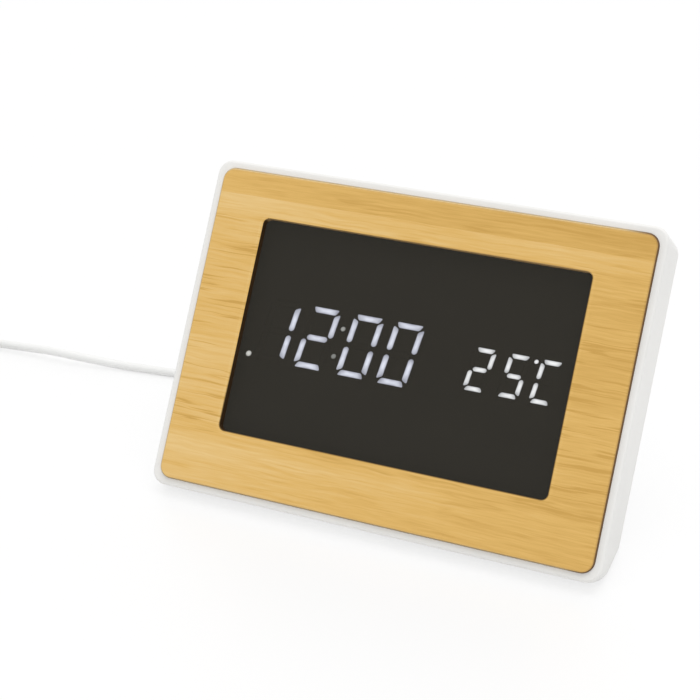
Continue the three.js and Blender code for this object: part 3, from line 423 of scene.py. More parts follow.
# Where the painted highlight and the laser's marks begin and end, in millimetres: out from the window or
# the outer edge, behind the face, across from its middle, or up from its lower edge
# The first pair is a painted highlight: a paler band on the face just outside the window's eased edge
HIGHLIGHT_RING = ((0.3, 0.6), (0.8, 1.5))
CUT_DEPTH = (0.04, 0.24)
WINDOW_LINE = (0.1, 0.4)
WINDOW_LINE_RIGHT = (-40, 45)
WINDOW_LINE_LOW = (25, 45)
WINDOW_LINE_SHARE = 0.8
OUTER_LINE = (-0.5, -0.2)
OUTER_LINE_SHARE = 0.25
TOP_REVEAL_RISE = (88.2, 89)
BROWN_RIGHT = (60, 71)
BROWN_LOW = (0, 6)
BROWN_LOW_SHARE = 0.3
BETWEEN_CUTS = (1, 6)
LACQUER = 0.5
LACQUER_SPREAD = 0.16
CUT_ROUGHER = 0.2
FIBRE_DEPTH = 0.015 * MM
FIBRE_STRENGTH = 0.6

panel_low, panel_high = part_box("bamboo_panel")
panel_width = panel_high.x - panel_low.x
panel_height = (panel_high.z - panel_low.z - PANEL_THICKNESS * math.sin(LEAN)) / math.cos(LEAN)
# The face's own directions: across, up the face and out of it, from the middle of its lower front edge
across = Vector((1, 0, 0))
up_face = Vector((0, math.sin(LEAN), math.cos(LEAN)))
out_of_face = Vector((0, -math.cos(LEAN), math.sin(LEAN)))
face_origin = Vector((0, panel_low.y, panel_high.z - panel_height * math.cos(LEAN)))
face = Matrix.Translation(face_origin) @ Matrix((across, up_face, out_of_face)).transposed().to_4x4()


def face_piece(shape, *words):
    """Ends a piece that was shaped in the face's own directions."""
    bmesh.ops.recalc_face_normals(shape, faces=shape.faces)
    shaped_piece(shape, *words, stand=face)


def rounded_loop(width, height, radius, middle):
    """Points round a rectangle with rounded corners, anticlockwise, about a middle point."""
    loop = []
    for quarter, (side, end) in enumerate(((1, 1), (-1, 1), (-1, -1), (1, -1))):
        for i in range(CORNER_STEPS + 1):
            turn = (quarter + i / CORNER_STEPS) * math.pi / 2
            x = side * (width / 2 - radius) + radius * math.cos(turn)
            y = end * (height / 2 - radius) + radius * math.sin(turn)
            loop.append((middle[0] + x, middle[1] + y))
    return loop


def stacked_rings(shape, rings, closed):
    """Joins loops of points, each at its own height, into a skin."""
    made = [[shape.verts.new((x, y, z)) for x, y in loop] for loop, z in rings]
    pairs = list(zip(made, made[1:]))
    if closed:
        pairs.append((made[-1], made[0]))
    for lower, upper in pairs:
        for i, point in enumerate(lower):
            after = (i + 1) % len(lower)
            shape.faces.new((point, lower[after], upper[after], upper[i]))
    return made


panel_middle = (FACE_SHIFT[0], panel_height / 2 + FACE_SHIFT[1])
window_middle = (0, WINDOW_RISE + WINDOW_HEIGHT / 2)
panel_face = (panel_width - 2 * FACE_TRIM, panel_height - 2 * FACE_TRIM, PANEL_CORNER - FACE_TRIM)


def panel_loop(inset):
    """The face's outline, drawn in by a width."""
    width, height, radius = panel_face
    return rounded_loop(width - 2 * inset, height - 2 * inset, radius - inset, panel_middle)


def window_loop(grow):
    """The window's outline, widened by a width."""
    return rounded_loop(
        WINDOW_WIDTH + 2 * grow, WINDOW_HEIGHT + 2 * grow, WINDOW_CORNER + grow, window_middle
    )


panel_shape = bmesh.new()
flared_loop = rounded_loop(
    panel_width + 2 * FLARE, panel_height + 2 * FLARE, PANEL_CORNER + FLARE, (0, panel_height / 2)
)
panel_rings = [
    (flared_loop, -PANEL_THICKNESS),
    (flared_loop, -PANEL_PROUD),
    (panel_loop(0), -PANEL_EASE),
    (panel_loop(EASE_SHARE * PANEL_EASE), -EASE_SHARE * PANEL_EASE),
    (panel_loop(PANEL_EASE), 0),
    (window_loop(PANEL_EASE), 0),
    (window_loop(EASE_SHARE * PANEL_EASE), -EASE_SHARE * PANEL_EASE),
    (window_loop(0), -PANEL_EASE),
    (window_loop(0), -PANEL_THICKNESS),
]
stacked_rings(panel_shape, panel_rings, closed=True)

bamboo, place = new_finish("bamboo")
axes = [place.node("ShaderNodeSeparateXYZ", {}, {0: place}, output=axis) for axis in "XYZ"]
x, y, z = [axis / MM for axis in axes]
slow_bend = SLOW_BEND * place.noise(SLOW_WAVE, detail=1).swing()
quick_bend = QUICK_BEND * place.noise(QUICK_WAVE, detail=1).swing()
wander = slow_bend + quick_bend
stops = [(rise * MM / panel_height, (pale,) * 3) for rise, pale in STRIPS]
strip = place.node(
    "ShaderNodeValToRGB",
    {"stops": stops, "between_stops": "CONSTANT"},
    {0: (y + STRIP_BEND * wander) * (MM / panel_height)},
)
strip_tone = strip.node("ShaderNodeRGBToBW", {}, {0: strip})
bent = place.node("ShaderNodeCombineXYZ", {}, {0: axes[0], 1: axes[1] + MM * wander, 2: axes[2]})
broad_fibre = bent.noise(BROAD_FIBRE, detail=2)
long_fibre = bent.noise(LONG_FIBRE, detail=3, roughness=0.6)
fine_fibre = bent.noise(FINE_FIBRE, detail=2)
clouds = place.noise(CLOUDS, detail=1)
vein = 1 - abs(bent.noise(VEINS, detail=2).swing()).step(0, VEIN_WIDTH)
broken_vein = vein * bent.noise(VEIN_BREAKS, detail=1).step(*VEIN_GATE)
broken_seam = place.noise(SEAM_BREAKS, detail=2).step(*SEAM_GATE)
tone = strip_tone + PALE_TONE * y.band(*PALE_BAND) * (1 - x.step(*PALE_FADE)) - SIDE_TONE * x
tone = tone + BROAD_TONE * broad_fibre.swing() + LONG_TONE * long_fibre.swing()
tone = tone + FINE_TONE * fine_fibre.swing() + CLOUD_TONE * clouds.swing()
tone = tone - (VEIN_TONE + BUSY_VEIN_TONE * y.band(*VEINED)) * broken_vein
for seam in SEAMS:
    tone = tone - SEAM_TONE * broken_seam * (1 - abs(y + SEAM_BEND * wander - seam).step(*SEAM_WIDTH))


def edge_distance(width, height, radius, middle):
    """Distance from a rounded rectangle on the face, below 0 inside it, in millimetres."""
    over_x = abs(x - middle[0] / MM) - (width / 2 - radius) / MM
    over_y = abs(y - middle[1] / MM) - (height / 2 - radius) / MM
    beyond_x = over_x.most(0.0)
    beyond_y = over_y.most(0.0)
    corner = (beyond_x * beyond_x + beyond_y * beyond_y).root()
    return corner + over_x.most(over_y).least(0.0) - radius / MM


outer = edge_distance(*panel_face, panel_middle)
inner = edge_distance(WINDOW_WIDTH, WINDOW_HEIGHT, WINDOW_CORNER, window_middle)
# A paler band just outside the window is a painted highlight along its eased edge
tone = tone + HIGHLIGHT_TONE * inner.band(*HIGHLIGHT_RING)
wood = tone.node("ShaderNodeValToRGB", {"stops": [(0, HONEY), (0.5, STRAW), (1, CREAM)]}, {0: tone})
low_or_right = x.step(*WINDOW_LINE_RIGHT).most(1 - y.step(*WINDOW_LINE_LOW))
window_line = WINDOW_LINE_SHARE * low_or_right * (1 - inner.step(*WINDOW_LINE))
outer_line = OUTER_LINE_SHARE * outer.step(*OUTER_LINE)
scorch = (0 - z).step(*CUT_DEPTH).most(window_line).most(outer_line)
# The window's reveals are charred, and its top reveal is coloured a lighter brown
window_cut = y.step(*TOP_REVEAL_RISE).mix(CHARRED, TOP_REVEAL_BROWN)
brown = x.step(*BROWN_RIGHT).most(BROWN_LOW_SHARE * (1 - y.step(*BROWN_LOW)))
cut_colour = inner.step(*BETWEEN_CUTS).mix(window_cut, brown.mix(PALE_CUT, BROWN_CUT))
close_finish(
    place,
    {
        "Base Color": scorch.mix(wood, cut_colour),
        "Roughness": LACQUER + LACQUER_SPREAD * fine_fibre.swing() + CUT_ROUGHER * scorch,
        "IOR": 1.38,
        "Normal": fine_fibre.bump(FIBRE_DEPTH, FIBRE_STRENGTH),
    },
)
face_piece(panel_shape, "bamboo_front", "clock", "bamboo", bamboo, "bamboo_panel")

# The window is a sheet of smoked acrylic with a matt front, which lies in the chassis behind the bamboo.
# Its glow is a painted reflection of the pale room, so that it is never quite black. Wiping leaves faint
# bands, which also vary the painted reflection.
SMOKE = (0.012, 0.010, 0.007)
SMOKE_HAZE = [1.15 * c for c in SMOKE]
# A painted reflection of the pale room, which the sheet gives off as a glow, and its range across the
# bands
PAINTED_REFLECTION = (0.0304, 0.0289, 0.0243)
DIM_PAINTED_REFLECTION = [0.96 * c for c in PAINTED_REFLECTION]
BRIGHT_PAINTED_REFLECTION = [1.04 * c for c in PAINTED_REFLECTION]
WIPE_AND_REFLECTION_BANDS = (0.02, 0.09, 0.05)
MATT_FRONT = 0.58
MATT_SPREAD = 0.06
smoked, place = new_finish("smoked_window")
wiped_tone_and_reflection = place.noise(WIPE_AND_REFLECTION_BANDS, detail=3)
close_finish(
    place,
    {
        "Base Color": wiped_tone_and_reflection.mix(SMOKE, SMOKE_HAZE),
        "Roughness": MATT_FRONT + MATT_SPREAD * wiped_tone_and_reflection,
        "IOR": 1.03,
        "Alpha": 0.5,
        # The glow is painted reflection, not light of its own
        "Emission Color": wiped_tone_and_reflection.mix(DIM_PAINTED_REFLECTION, BRIGHT_PAINTED_REFLECTION),
        "Emission Strength": 1.0,
    },
)


def dress(finish, *nodes):
    """Gives CAD nodes that keep their own shape a finish."""
    for node in nodes:
        mesh = frame["nodes"][node].data
        mesh.materials.clear()
        mesh.materials.append(finish)


dress(smoked, "display_lens")

# Behind the window a black chassis carries everything, and a black mask has a well for each segment.
# A dark light guide has a pad in each well, black until a lamp behind it is lit.
BLACK = (0.012, 0.012, 0.012)
FADED_BLACK = (0.016, 0.016, 0.016)
black_plastic = moulded("black_plastic", BLACK, FADED_BLACK, roughness=0.55, grain=0.5, depth=0.001 * MM)
dark_guide = moulded("dark_guide", BLACK, FADED_BLACK, roughness=0.5, grain=0.8, depth=0.001 * MM)
dress(black_plastic, "chassis", "segment_mask")
dress(dark_guide, "light_guide")

# Lit segments glow through the pads: the time and the colon, the temperature, and the dot on the left.
# Each is a thin film on its pad, brightest over its lamp, with the soft corners that the wells give it.
WINDOW_LEFT = -WINDOW_WIDTH / 2
PAD_DEPTH = 5.4 * MM
FILM = 0.12 * MM
DIGIT_SLANT = 0.137
TIP_RADIUS = 0.65 * MM
# The most of a side that one rounded corner takes, and the steps of its curve
LONGEST_TIP = 0.45
TIP_SHARES = (0, 0.25, 0.5, 0.75, 1)
# A digit's width, height and stroke
LARGE = (10.25 * MM, 20.35 * MM, 1.85 * MM)
SMALL = (7.02 * MM, 13.92 * MM, 1.46 * MM)
# How far a segment's ends stand back, in strokes
BAR_MITRE = 0.4
UPRIGHT_MITRE = 0.75
END_SLOPE = 0.5
WAIST_GAP = 0.36
TIP_SLOPE = 0.3
MIDDLE_GAP = 0.82
# Each digit's place across the window, in millimetres, and its lit segments
TIME = ((11.0, "bc"), (24.8, "abged"), (39.7, "abcdef"), (53.5, "abcdef"))
READING = ((79.95, "abged"), (91.05, "afgcd"), (101.35, "afed"))
# Each dot's place across the window, rise over its middle and radius, in millimetres
COLON = (32.25, 4.6, 0.8)
LOWER_DOT_LIGHT = 0.45
DEGREE = (97.1, 5.8, 0.68)
INDICATOR = (2.5, -9.0, 0.95)
DOT_STEPS = 20
GLOW = 3.8
# Rings of a film: how far out from its middle each lies, and its share of the lamp's light
GLOW_REACHES = (0.7, 0.25)
GLOW_SHARES = (0.55, 1.0)
LAMP_PART = 0.8
UNEVEN_PART = 0.2
UNEVEN = (0.35, 0.35, 0.35)
UNEVEN_RANGE = (0.35, 0.65)
PAD_BLACK = (0.02, 0.02, 0.02, 1)


def segment(name, width, height, stroke):
    """The outline of one of the seven segments of a digit, about the digit's middle."""
    side = width / 2
    top = height / 2
    half = stroke / 2
    inside = side - stroke
    slope = END_SLOPE * stroke
    bar_end = side - BAR_MITRE * stroke
    upright_end = top - UPRIGHT_MITRE * stroke
    waist = WAIST_GAP * stroke
    middle_end = side - MIDDLE_GAP * stroke
    shoulder = middle_end - TIP_SLOPE * stroke
    bar = [
        (-bar_end, top),
        (bar_end, top),
        (bar_end - slope, top - stroke),
        (slope - bar_end, top - stroke),
    ]
    upright = [
        (side, upright_end),
        (side, waist + TIP_SLOPE * stroke),
        (side - half, waist),
        (inside, waist + TIP_SLOPE * stroke),
        (inside, upright_end - slope),
    ]
    middle = [
        (-middle_end, 0),
        (-shoulder, half),
        (shoulder, half),
        (middle_end, 0),
        (shoulder, -half),
        (-shoulder, -half),
    ]
    outline, flip_x, flip_y = {
        "a": (bar, 1, 1),
        "b": (upright, 1, 1),
        "c": (upright, 1, -1),
        "d": (bar, 1, -1),
        "e": (upright, -1, -1),
        "f": (upright, -1, 1),
        "g": (middle, 1, 1),
    }[name]
    return [(flip_x * px, flip_y * py) for px, py in outline]


def softened(outline, radius):
    """The outline with its corners rounded off."""
    soft = []
    for before, corner, after in zip(outline[-1:] + outline[:-1], outline, outline[1:] + outline[:1]):
        corner = Vector(corner)
        arms = [Vector(other) - corner for other in (before, after)]
        start, end = [corner + arm * min(radius / arm.length, LONGEST_TIP) for arm in arms]
        for share in TIP_SHARES:
            soft.append(start.lerp(corner, share).lerp(corner.lerp(end, share), share))
    return soft


def add_film(shape, outline, x_middle, light=1.0):
    """A thin lit film over one pad, at a place across the window, with more light towards its middle."""
    floats = shape.verts.layers.float
    lamp_share = floats.get("lamp_share") or floats.new("lamp_share")
    points = [
        Vector((WINDOW_LEFT + x_middle * MM + px + DIGIT_SLANT * py, window_middle[1] + py))
        for px, py in outline
    ]
    middle = sum(points, Vector((0, 0))) / len(points)
    inner_loops = [[middle.lerp(point, reach) for point in points] for reach in GLOW_REACHES]
    rings = [(points, -PAD_DEPTH)]
    rings += [(loop, FILM - PAD_DEPTH) for loop in (points, *inner_loops)]
    made = stacked_rings(shape, rings, closed=False)
    for ring, share in zip(made[-len(inner_loops):], GLOW_SHARES):
        for point in ring:
            point[lamp_share] = light * share
    shape.faces.new(made[0])
    shape.faces.new(made[-1])


def add_digits(shape, digits, size):
    """Films for the lit segments of a row of digits."""
    for x_middle, names in digits:
        for name in names:
            add_film(shape, softened(segment(name, *size), TIP_RADIUS), x_middle)


def add_dot(shape, x_middle, rise, radius, light=1.0):
    """A dot that belongs to the slanted digits, and shifts across with its rise as they do."""
    turns = [2 * math.pi * i / DOT_STEPS for i in range(DOT_STEPS)]
    round_dot = [(radius * MM * math.cos(t), (rise + radius * math.sin(t)) * MM) for t in turns]
    add_film(shape, round_dot, x_middle, light)


def add_free_dot(shape, x_dot, rise, radius):
    """A dot whose place across the window is its own."""
    add_dot(shape, x_dot - DIGIT_SLANT * rise, rise, radius)


def lit_piece(shape, name, bright, dim):
    """Ends a piece of films, whose light is dimmer towards the edges and a little uneven."""
    material, place = new_finish(name)
    uneven = place.noise(UNEVEN, detail=2).step(*UNEVEN_RANGE)
    lamp_share = place.node("ShaderNodeAttribute", {"attribute_name": "lamp_share"}, output="Fac")
    close_finish(
        place,
        {
            "Base Color": PAD_BLACK,
            "Roughness": 0.5,
            "Emission Color": (LAMP_PART * lamp_share + UNEVEN_PART * uneven).mix(dim, bright),
            "Emission Strength": GLOW,
        },
    )
    face_piece(shape, name, "clock", "dark_guide", material)


time_shape = bmesh.new()
add_digits(time_shape, TIME, LARGE)
lit_piece(time_shape, "lit_time", bright=(0.77, 0.80, 0.91), dim=(0.24, 0.25, 0.31))
reading_shape = bmesh.new()
add_digits(reading_shape, READING, SMALL)
add_free_dot(reading_shape, *DEGREE)
lit_piece(reading_shape, "lit_reading", bright=(0.96, 0.97, 0.98), dim=(0.34, 0.35, 0.37))
colon_shape = bmesh.new()
add_dot(colon_shape, *COLON)
add_dot(colon_shape, COLON[0], -COLON[1], COLON[2], LOWER_DOT_LIGHT)
lit_piece(colon_shape, "lit_colon", bright=(0.38, 0.39, 0.38), dim=(0.13, 0.135, 0.13))
indicator_shape = bmesh.new()
add_free_dot(indicator_shape, *INDICATOR)
lit_piece(indicator_shape, "lit_indicator", bright=(0.64, 0.64, 0.61), dim=(0.24, 0.24, 0.23))

# A green board carries the lamps, and on its back the controller, crystal, capacitor, buzzer and sensor.
# The case hides all of these. They are soldered to the board, and four screws hold it to the chassis.
CORNERS = ("lower_left", "lower_right", "upper_left", "upper_right")
PLATE_DRIFT = (0.12, 0.12, 0.12)
ROLLED = (0.2, 6.0, 6.0)
ROLLED_SPREAD = 0.16
ROLLED_DEPTH = 0.002 * MM


def plated(name, pale, deep, roughness):
    """Plated metal: fine lines from rolling, and a slow drift in its tone."""
    material, place = new_finish(name)
    drift = place.noise(PLATE_DRIFT, detail=3)
    rolled = place.noise(ROLLED, detail=2)
    close_finish(
        place,
        {
            "Base Color": drift.mix(pale, deep),
            "Metallic": 1.0,
            "Roughness": roughness + ROLLED_SPREAD * rolled.swing(),
            "Normal": rolled.bump(ROLLED_DEPTH),
        },
    )
    return material


green_board = moulded(
    "green_board",
    pale=(0.02, 0.13, 0.05),
    deep=(0.015, 0.10, 0.04),
    roughness=0.4,
    grain=1.2,
    depth=0.02 * MM,
)
ivory = moulded(
    "ivory_plastic",
    pale=(0.70, 0.64, 0.48),
    deep=(0.66, 0.60, 0.44),
    roughness=0.45,
    grain=3.0,
    depth=0.004 * MM,
)
steel = plated("steel", pale=(0.66, 0.66, 0.65), deep=(0.56, 0.56, 0.56), roughness=0.3)
dress(green_board, "main_board")
dress(black_plastic, "controller_chip", "buzzer", "temperature_sensor")
dress(steel, "clock_crystal", "supply_capacitor")
dress(ivory, "power_connector")
dress(steel, *[f"board_screw_{corner}" for corner in CORNERS])

# Three keys set the clock. Each is a round white moulding with a dished top and a raised sign.
# Its flange keeps it in the case, and its stem presses the plunger of a switch on the board.
BACK_DEPTH = 26.0 * MM
KEY_COLUMN = 46.0 * MM
KEY_PITCH = 12.0 * MM
# Radius and depth behind the case's back, in millimetres
KEY_PROFILE = (
    (4.8, -3.2), (4.8, -2.2), (3.6, -2.2), (3.6, 0.55), (3.54, 0.85), (3.36, 1.08), (3.05, 1.2),
    (2.6, 1.14), (1.8, 1.02), (0.9, 0.95), (0.3, 0.94),
)
SIGN_DEPTH = 0.9 * MM
SIGN_HEIGHT = 0.28 * MM
# The signs' outlines and the radius of their corners, in millimetres
SIGN_CORNER = 0.3
SIGNS = {
    "set": [(-1.1, -0.35), (1.1, -0.35), (1.1, 0.35), (-1.1, 0.35)],
    "up": [(-1.2, -0.8), (1.2, -0.8), (0, 1.1)],
    "down": [(-1.2, 0.8), (0, -1.1), (1.2, 0.8)],
}
ROUND_STEPS = 48


def turned(shape, profile, middle, start):
    """A round piece on the depth axis, from (radius, depth) pairs in millimetres behind a start."""
    turns = [2 * math.pi * i / ROUND_STEPS for i in range(ROUND_STEPS)]
    rings = []
    for radius, depth in profile:
        loop = [
            (middle[0] + radius * MM * math.cos(t), middle[1] + radius * MM * math.sin(t)) for t in turns
        ]
        rings.append((loop, -PANEL_PROUD - start - depth * MM))
    made = stacked_rings(shape, rings, closed=False)
    shape.faces.new(made[0])
    shape.faces.new(made[-1])


for row, key in enumerate(("set", "up", "down")):
    middle = (KEY_COLUMN, window_middle[1] + (1 - row) * KEY_PITCH)
    shape = bmesh.new()
    turned(shape, KEY_PROFILE, middle, BACK_DEPTH)
    sign = [(middle[0] + px * MM, middle[1] + py * MM) for px, py in softened(SIGNS[key], SIGN_CORNER)]
    sign_foot = -PANEL_PROUD - BACK_DEPTH - SIGN_DEPTH
    for ring in stacked_rings(shape, [(sign, sign_foot), (sign, sign_foot - SIGN_HEIGHT)], closed=False):
        shape.faces.new(ring)
    face_piece(shape, f"{key}_button", f"{key}_button", "case_white", case_white, f"{key}_key")
plunger_white = moulded(
    "plunger_white",
    pale=(0.78, 0.78, 0.74),
    deep=(0.74, 0.74, 0.70),
    roughness=0.5,
    grain=3.0,
    depth=0.004 * MM,
)
dress(black_plastic, "set_switch", "up_switch", "down_switch")
dress(plunger_white, "set_plunger", "up_plunger", "down_plunger")

# A coin cell keeps the time when the cord is out. It lies in a black cup on the board.
# The white cap over it has three bayonet tabs and a slot, and turns with a coin.
dress(black_plastic, "cell_holder")
dress(steel, "backup_cell")
eased_copy("battery_cap", "coin_cap", "cap", "case_white", case_white, edge=0.2 * MM)

# The leg is a flat white moulding that swings out of a recess in the back, on a steel pin.
# A strip of grey rubber is glued under its end.
rubber = moulded(
    "grey_rubber",
    pale=(0.16, 0.16, 0.157),
    deep=(0.13, 0.13, 0.128),
    roughness=0.8,
    grain=2.2,
    depth=0.02 * MM,
)
eased_copy("stand_leg", "fold_leg", "leg", "case_white", case_white, edge=0.35 * MM)
eased_copy("leg_pad", "leg_sole", "leg", "grey_rubber", rubber, edge=0.12 * MM)
dress(steel, "hinge_pin")

# Four plated steel screws go through the case's back into the chassis.
# Each has a low round head, with a cross recess that was pressed into it.
SCREW_SEAT = 26.3 * MM
SCREW_COLUMN = 69.35 * MM
SCREW_RISES = (19.15 * MM, 95.55 * MM)
# Radius and depth behind the seat, in millimetres
SCREW_PROFILE = (
    (0.5, -7.0), (1.1, -5.9), (1.1, 0), (2.2, 0), (2.2, 0.55), (2.1, 0.85), (1.85, 1.08), (1.5, 1.22),
    (0.4, 1.3),
)
RECESS_REACH = 1.2 * MM
RECESS_WIDTH = 0.5 * MM
RECESS_DEPTH = 0.75 * MM


def box_shape(shape, low, high):
    """Adds a box between two corners to a mesh."""
    corners = bmesh.ops.create_cube(shape, size=1)["verts"]
    for corner in corners:
        corner.co = [a if side < 0 else b for a, b, side in zip(low, high, corner.co)]


def cut_out(shape, tool):
    """The first mesh without the room that the second takes up."""
    pair = []
    for part in (shape, tool):
        mesh = bpy.data.meshes.new("cutting")
        part.to_mesh(mesh)
        part.free()
        pair.append(put("cutting", mesh))
    cutting = pair[0].modifiers.new("cutting", "BOOLEAN")
    cutting.object = pair[1]
    result = bmesh.new()
    result.from_object(pair[0], bpy.context.evaluated_depsgraph_get())
    for part in pair:
        bpy.data.objects.remove(part)
    return result


screw_top = -PANEL_PROUD - SCREW_SEAT - SCREW_PROFILE[-1][1] * MM
for corner in CORNERS:
    middle = (
        SCREW_COLUMN * (1 if "right" in corner else -1),
        SCREW_RISES[0] if "lower" in corner else SCREW_RISES[1],
    )
    head = bmesh.new()
    turned(head, SCREW_PROFILE, middle, SCREW_SEAT)
    bmesh.ops.recalc_face_normals(head, faces=head.faces)
    for reach_x, reach_y in ((RECESS_REACH, RECESS_WIDTH / 2), (RECESS_WIDTH / 2, RECESS_REACH)):
        arm = bmesh.new()
        low = (middle[0] - reach_x, middle[1] - reach_y, screw_top - RECESS_DEPTH)
        high = (middle[0] + reach_x, middle[1] + reach_y, screw_top + RECESS_DEPTH)
        box_shape(arm, low, high)
        head = cut_out(head, arm)
    face_piece(head, f"cross_screw_{corner}", "clock", "steel", steel, f"case_screw_{corner}")

# Two pads of grey rubber keep the clock from sliding.
# They are glued under the flat of the case's lower edge, one at each side.
for side in ("left", "right"):
    eased_copy(f"{side}_foot", f"{side}_pad", "clock", "grey_rubber", rubber, edge=0.15 * MM)

# A grommet of soft white vinyl sits in the back, and the cord leaves through it.
# Its tail is tapered and ribbed, so that the cord bends there without a kink.
ENTRY_COLUMN = -50.5 * MM
ENTRY_RISE = 25.4 * MM
# The tail's depths and radii, and how deep its grooves are, in millimetres
TAIL_START = 1.6
TAIL_END = 13.6
TAIL_WIDE = 2.9
TAIL_TIP = 2.2
TAIL_RIBS = 6
GROOVE = 0.45
# The steps of one rib: how far along it, and how deep, in millimetres
RIB_STEPS = ((0.0, 0), (0.45, 0), (0.55, GROOVE), (0.9, GROOVE))
# Radius and depth behind the case's back, in millimetres
FLANGE_PROFILE = (
    (4.0, -3.2), (4.0, -2.2), (2.9, -2.2), (2.9, 0.3), (4.0, 0.3), (4.0, 1.35), (3.75, TAIL_START),
)
vinyl = moulded(
    "cord_white",
    pale=(0.85, 0.85, 0.84),
    deep=(0.82, 0.82, 0.81),
    roughness=0.45,
    grain=2.5,
    depth=0.008 * MM,
)
tail_profile = list(FLANGE_PROFILE)
for rib in range(TAIL_RIBS):
    for share, sunk in RIB_STEPS:
        along = (rib + share) / TAIL_RIBS
        radius = TAIL_WIDE + (TAIL_TIP - TAIL_WIDE) * along
        tail_profile.append((radius - sunk, TAIL_START + (TAIL_END - TAIL_START) * along))
tail_profile.append((TAIL_TIP, TAIL_END))
grommet_shape = bmesh.new()
turned(grommet_shape, tail_profile, (ENTRY_COLUMN, ENTRY_RISE), BACK_DEPTH)
face_piece(grommet_shape, "ribbed_grommet", "clock", "cord_white", vinyl, "cord_grommet")

# The cord is white vinyl. It lies on the table behind the clock and goes out to its left in a low wave.
# The rest is wound in two flat layers, in towards the middle and out again above, beside its plug.
CORD_DIAMETER = 3.2 * MM
CORD_FINENESS = 5
# The first points: half a diameter inside the tail, at its tip, and a diameter beyond it
EXIT_REACHES = (0.5, 0, -1)
# Points along the table, in millimetres
CORD_ROUTE = (
    (-50.5, 14.4, 2.3),
    (-50.7, 18.4, 1.7),
    (-52.6, 23.0, 1.65),
    (-57.4, 27.5, 1.65),
    (-64.4, 30.3, 1.65),
    (-72.6, 31.5, 1.65),
    (-81.0, 31.9, 1.65),
    (-90.0, 31.9, 1.65),
    (-99.0, 31.4, 1.65),
    (-107.5, 30.4, 1.7),
    (-116.5, 29.5, 1.7),
    (-125.5, 28.4, 1.9),
    (-134.5, 27.0, 2.7),
    (-143.0, 25.8, 3.4),
    (-151.5, 25.4, 3.7),
    (-160.0, 25.7, 3.1),
    (-168.5, 25.6, 2.6),
    (-177.0, 25.4, 2.3),
)
COIL_TURNS = 7.25
COIL_STEPS = 24
COIL_RADIUS = 17.6 * MM
COIL_SPACING = 3.9 * MM
COIL_CENTRE = Vector((-199.0 * MM, 1.3 * MM, 0.85 * MM + CORD_DIAMETER / 2))
CLIMB_TURNS = 0.5
END_LENGTH = 17.0 * MM
END_SHARES = (0.2, 0.4, 0.6, 0.8, 1)
PLUG_RISE = 4.2 * MM


def coil_point(turns):
    """A place in the coil, so many turns from its start."""
    from_middle = turns - COIL_TURNS / 2
    radius = COIL_RADIUS + COIL_SPACING * (abs(from_middle) - COIL_TURNS / 4)
    climb = min(max(from_middle / CLIMB_TURNS + 1 / 2, 0), 1)
    angle = math.pi / 2 + 2 * math.pi * turns
    return COIL_CENTRE + Vector((radius * math.cos(angle), radius * math.sin(angle), COIL_SPACING * climb))


tip_depth = PANEL_PROUD + BACK_DEPTH + TAIL_END * MM
cord_exit = face @ Vector((ENTRY_COLUMN, ENTRY_RISE, -tip_depth))
cord_points = [cord_exit + reach * CORD_DIAMETER * out_of_face for reach in EXIT_REACHES]
cord_points += [Vector(point) * MM for point in CORD_ROUTE]
coil_steps = round(COIL_TURNS * COIL_STEPS)
cord_points += [coil_point(COIL_TURNS * step / coil_steps) for step in range(coil_steps + 1)]
coil_end = cord_points[-1].copy()
for share in END_SHARES:
    drop = (coil_end.z - PLUG_RISE) * (3 - 2 * share) * share * share
    cord_points.append(coil_end - Vector((0, END_LENGTH * share, drop)))

cord_line = bpy.data.curves.new("supply_cord", "CURVE")
cord_line.dimensions = "3D"
cord_line.bevel_depth = CORD_DIAMETER / 2
cord_line.bevel_resolution = CORD_FINENESS
cord_line.resolution_u = CORD_FINENESS
strand = cord_line.splines.new("BEZIER")
strand.bezier_points.add(len(cord_points) - 1)
for knot, point in zip(strand.bezier_points, cord_points):
    knot.co = point
    knot.handle_left_type = "AUTO"
    knot.handle_right_type = "AUTO"
cord_line.materials.append(vinyl)
supply_cord = put("supply_cord", cord_line)
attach(supply_cord, "clock")
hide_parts("cord", "cord_coil")

# A rubber strap holds the coil. The plug beside it has a moulded grip with ribs on top, a steel shell
# with two windows on each face, and a tongue with four gilded contacts.
RIB_COUNT = 5
RIB_START = 3.2 * MM
RIB_LENGTH = 8.6 * MM
RIB_WIDTH = 0.9 * MM
RIB_PITCH = 2.1 * MM
RIB_HEIGHT = 0.3 * MM
RIB_EASE = 0.2 * MM
PORT = 2.3 * MM
PORT_OFFSET = 2.7 * MM
PORT_INSET = 5.2 * MM
CONTACT_COUNT = 4
CONTACT_PITCH = 2.1 * MM
CONTACT_WIDTH = 1.1 * MM
CONTACT_HEIGHT = 0.1 * MM
CONTACT_INSET = 0.8 * MM
CONTACT_TAIL = 2.5 * MM
CONTACT_EASE = 0.04 * MM

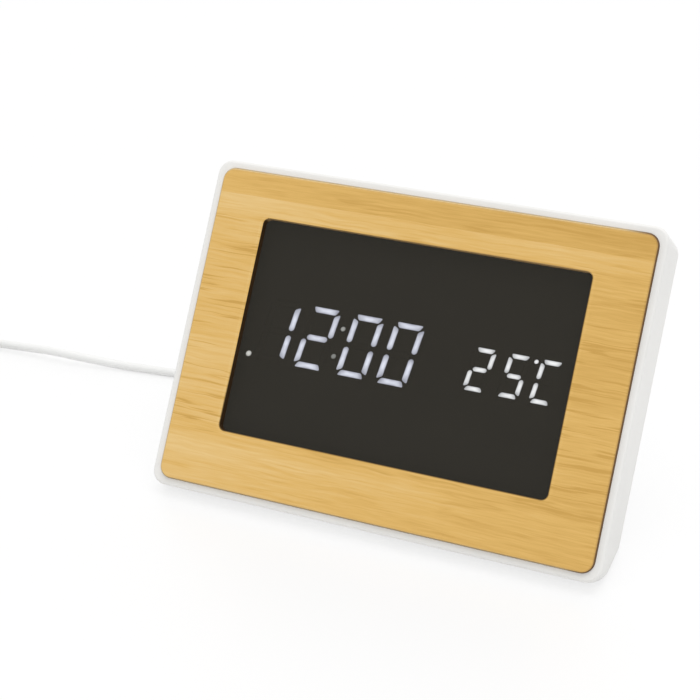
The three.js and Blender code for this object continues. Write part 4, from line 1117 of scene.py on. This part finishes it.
strap = eased_copy("coil_tie", "coil_strap", "clock", "grey_rubber", rubber, edge=0.12 * MM)
grip = eased_copy("plug_body", "plug_grip", "clock", "cord_white", vinyl, edge=0.25 * MM)
shell_low, shell_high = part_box("plug_shell")
shell_middle = (shell_low + shell_high) / 2
body_low, body_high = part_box("plug_body")

ribs = bmesh.new()
for row in range(RIB_COUNT):
    y_rib = body_low.y + RIB_START + row * RIB_PITCH
    low = (shell_middle.x - RIB_LENGTH / 2, y_rib, body_high.z - RIB_HEIGHT)
    high = (shell_middle.x + RIB_LENGTH / 2, y_rib + RIB_WIDTH, body_high.z + RIB_HEIGHT)
    box_shape(ribs, low, high)
ease(ribs, ribs.edges[:], RIB_EASE)
grip_ribs = shaped_piece(ribs, "plug_ribs", "clock", "cord_white", vinyl)

contact_shell = node_shape("plug_shell")
for side in (-1, 1):
    port = bmesh.new()
    x_port = shell_middle.x + side * PORT_OFFSET
    y_port = shell_low.y + PORT_INSET
    low = (x_port - PORT / 2, y_port - PORT / 2, shell_low.z - PORT)
    high = (x_port + PORT / 2, y_port + PORT / 2, shell_high.z + PORT)
    box_shape(port, low, high)
    contact_shell = cut_out(contact_shell, port)
plug_sleeve = shaped_piece(contact_shell, "plug_sleeve", "clock", "steel", steel, "plug_shell")

dress(ivory, "plug_tongue")
gilt = plated("gilt", pale=(0.83, 0.62, 0.25), deep=(0.76, 0.55, 0.20), roughness=0.28)
tongue_low, tongue_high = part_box("plug_tongue")
contacts = bmesh.new()
for row in range(CONTACT_COUNT):
    x_contact = shell_middle.x + (row - (CONTACT_COUNT - 1) / 2) * CONTACT_PITCH
    low = (x_contact - CONTACT_WIDTH / 2, tongue_low.y + CONTACT_INSET, tongue_high.z - CONTACT_HEIGHT)
    high = (x_contact + CONTACT_WIDTH / 2, tongue_high.y - CONTACT_TAIL, tongue_high.z + CONTACT_HEIGHT)
    box_shape(contacts, low, high)
ease(contacts, contacts.edges[:], CONTACT_EASE, segments=1)
plug_contacts = shaped_piece(contacts, "plug_contacts", "clock", "steel", gilt)
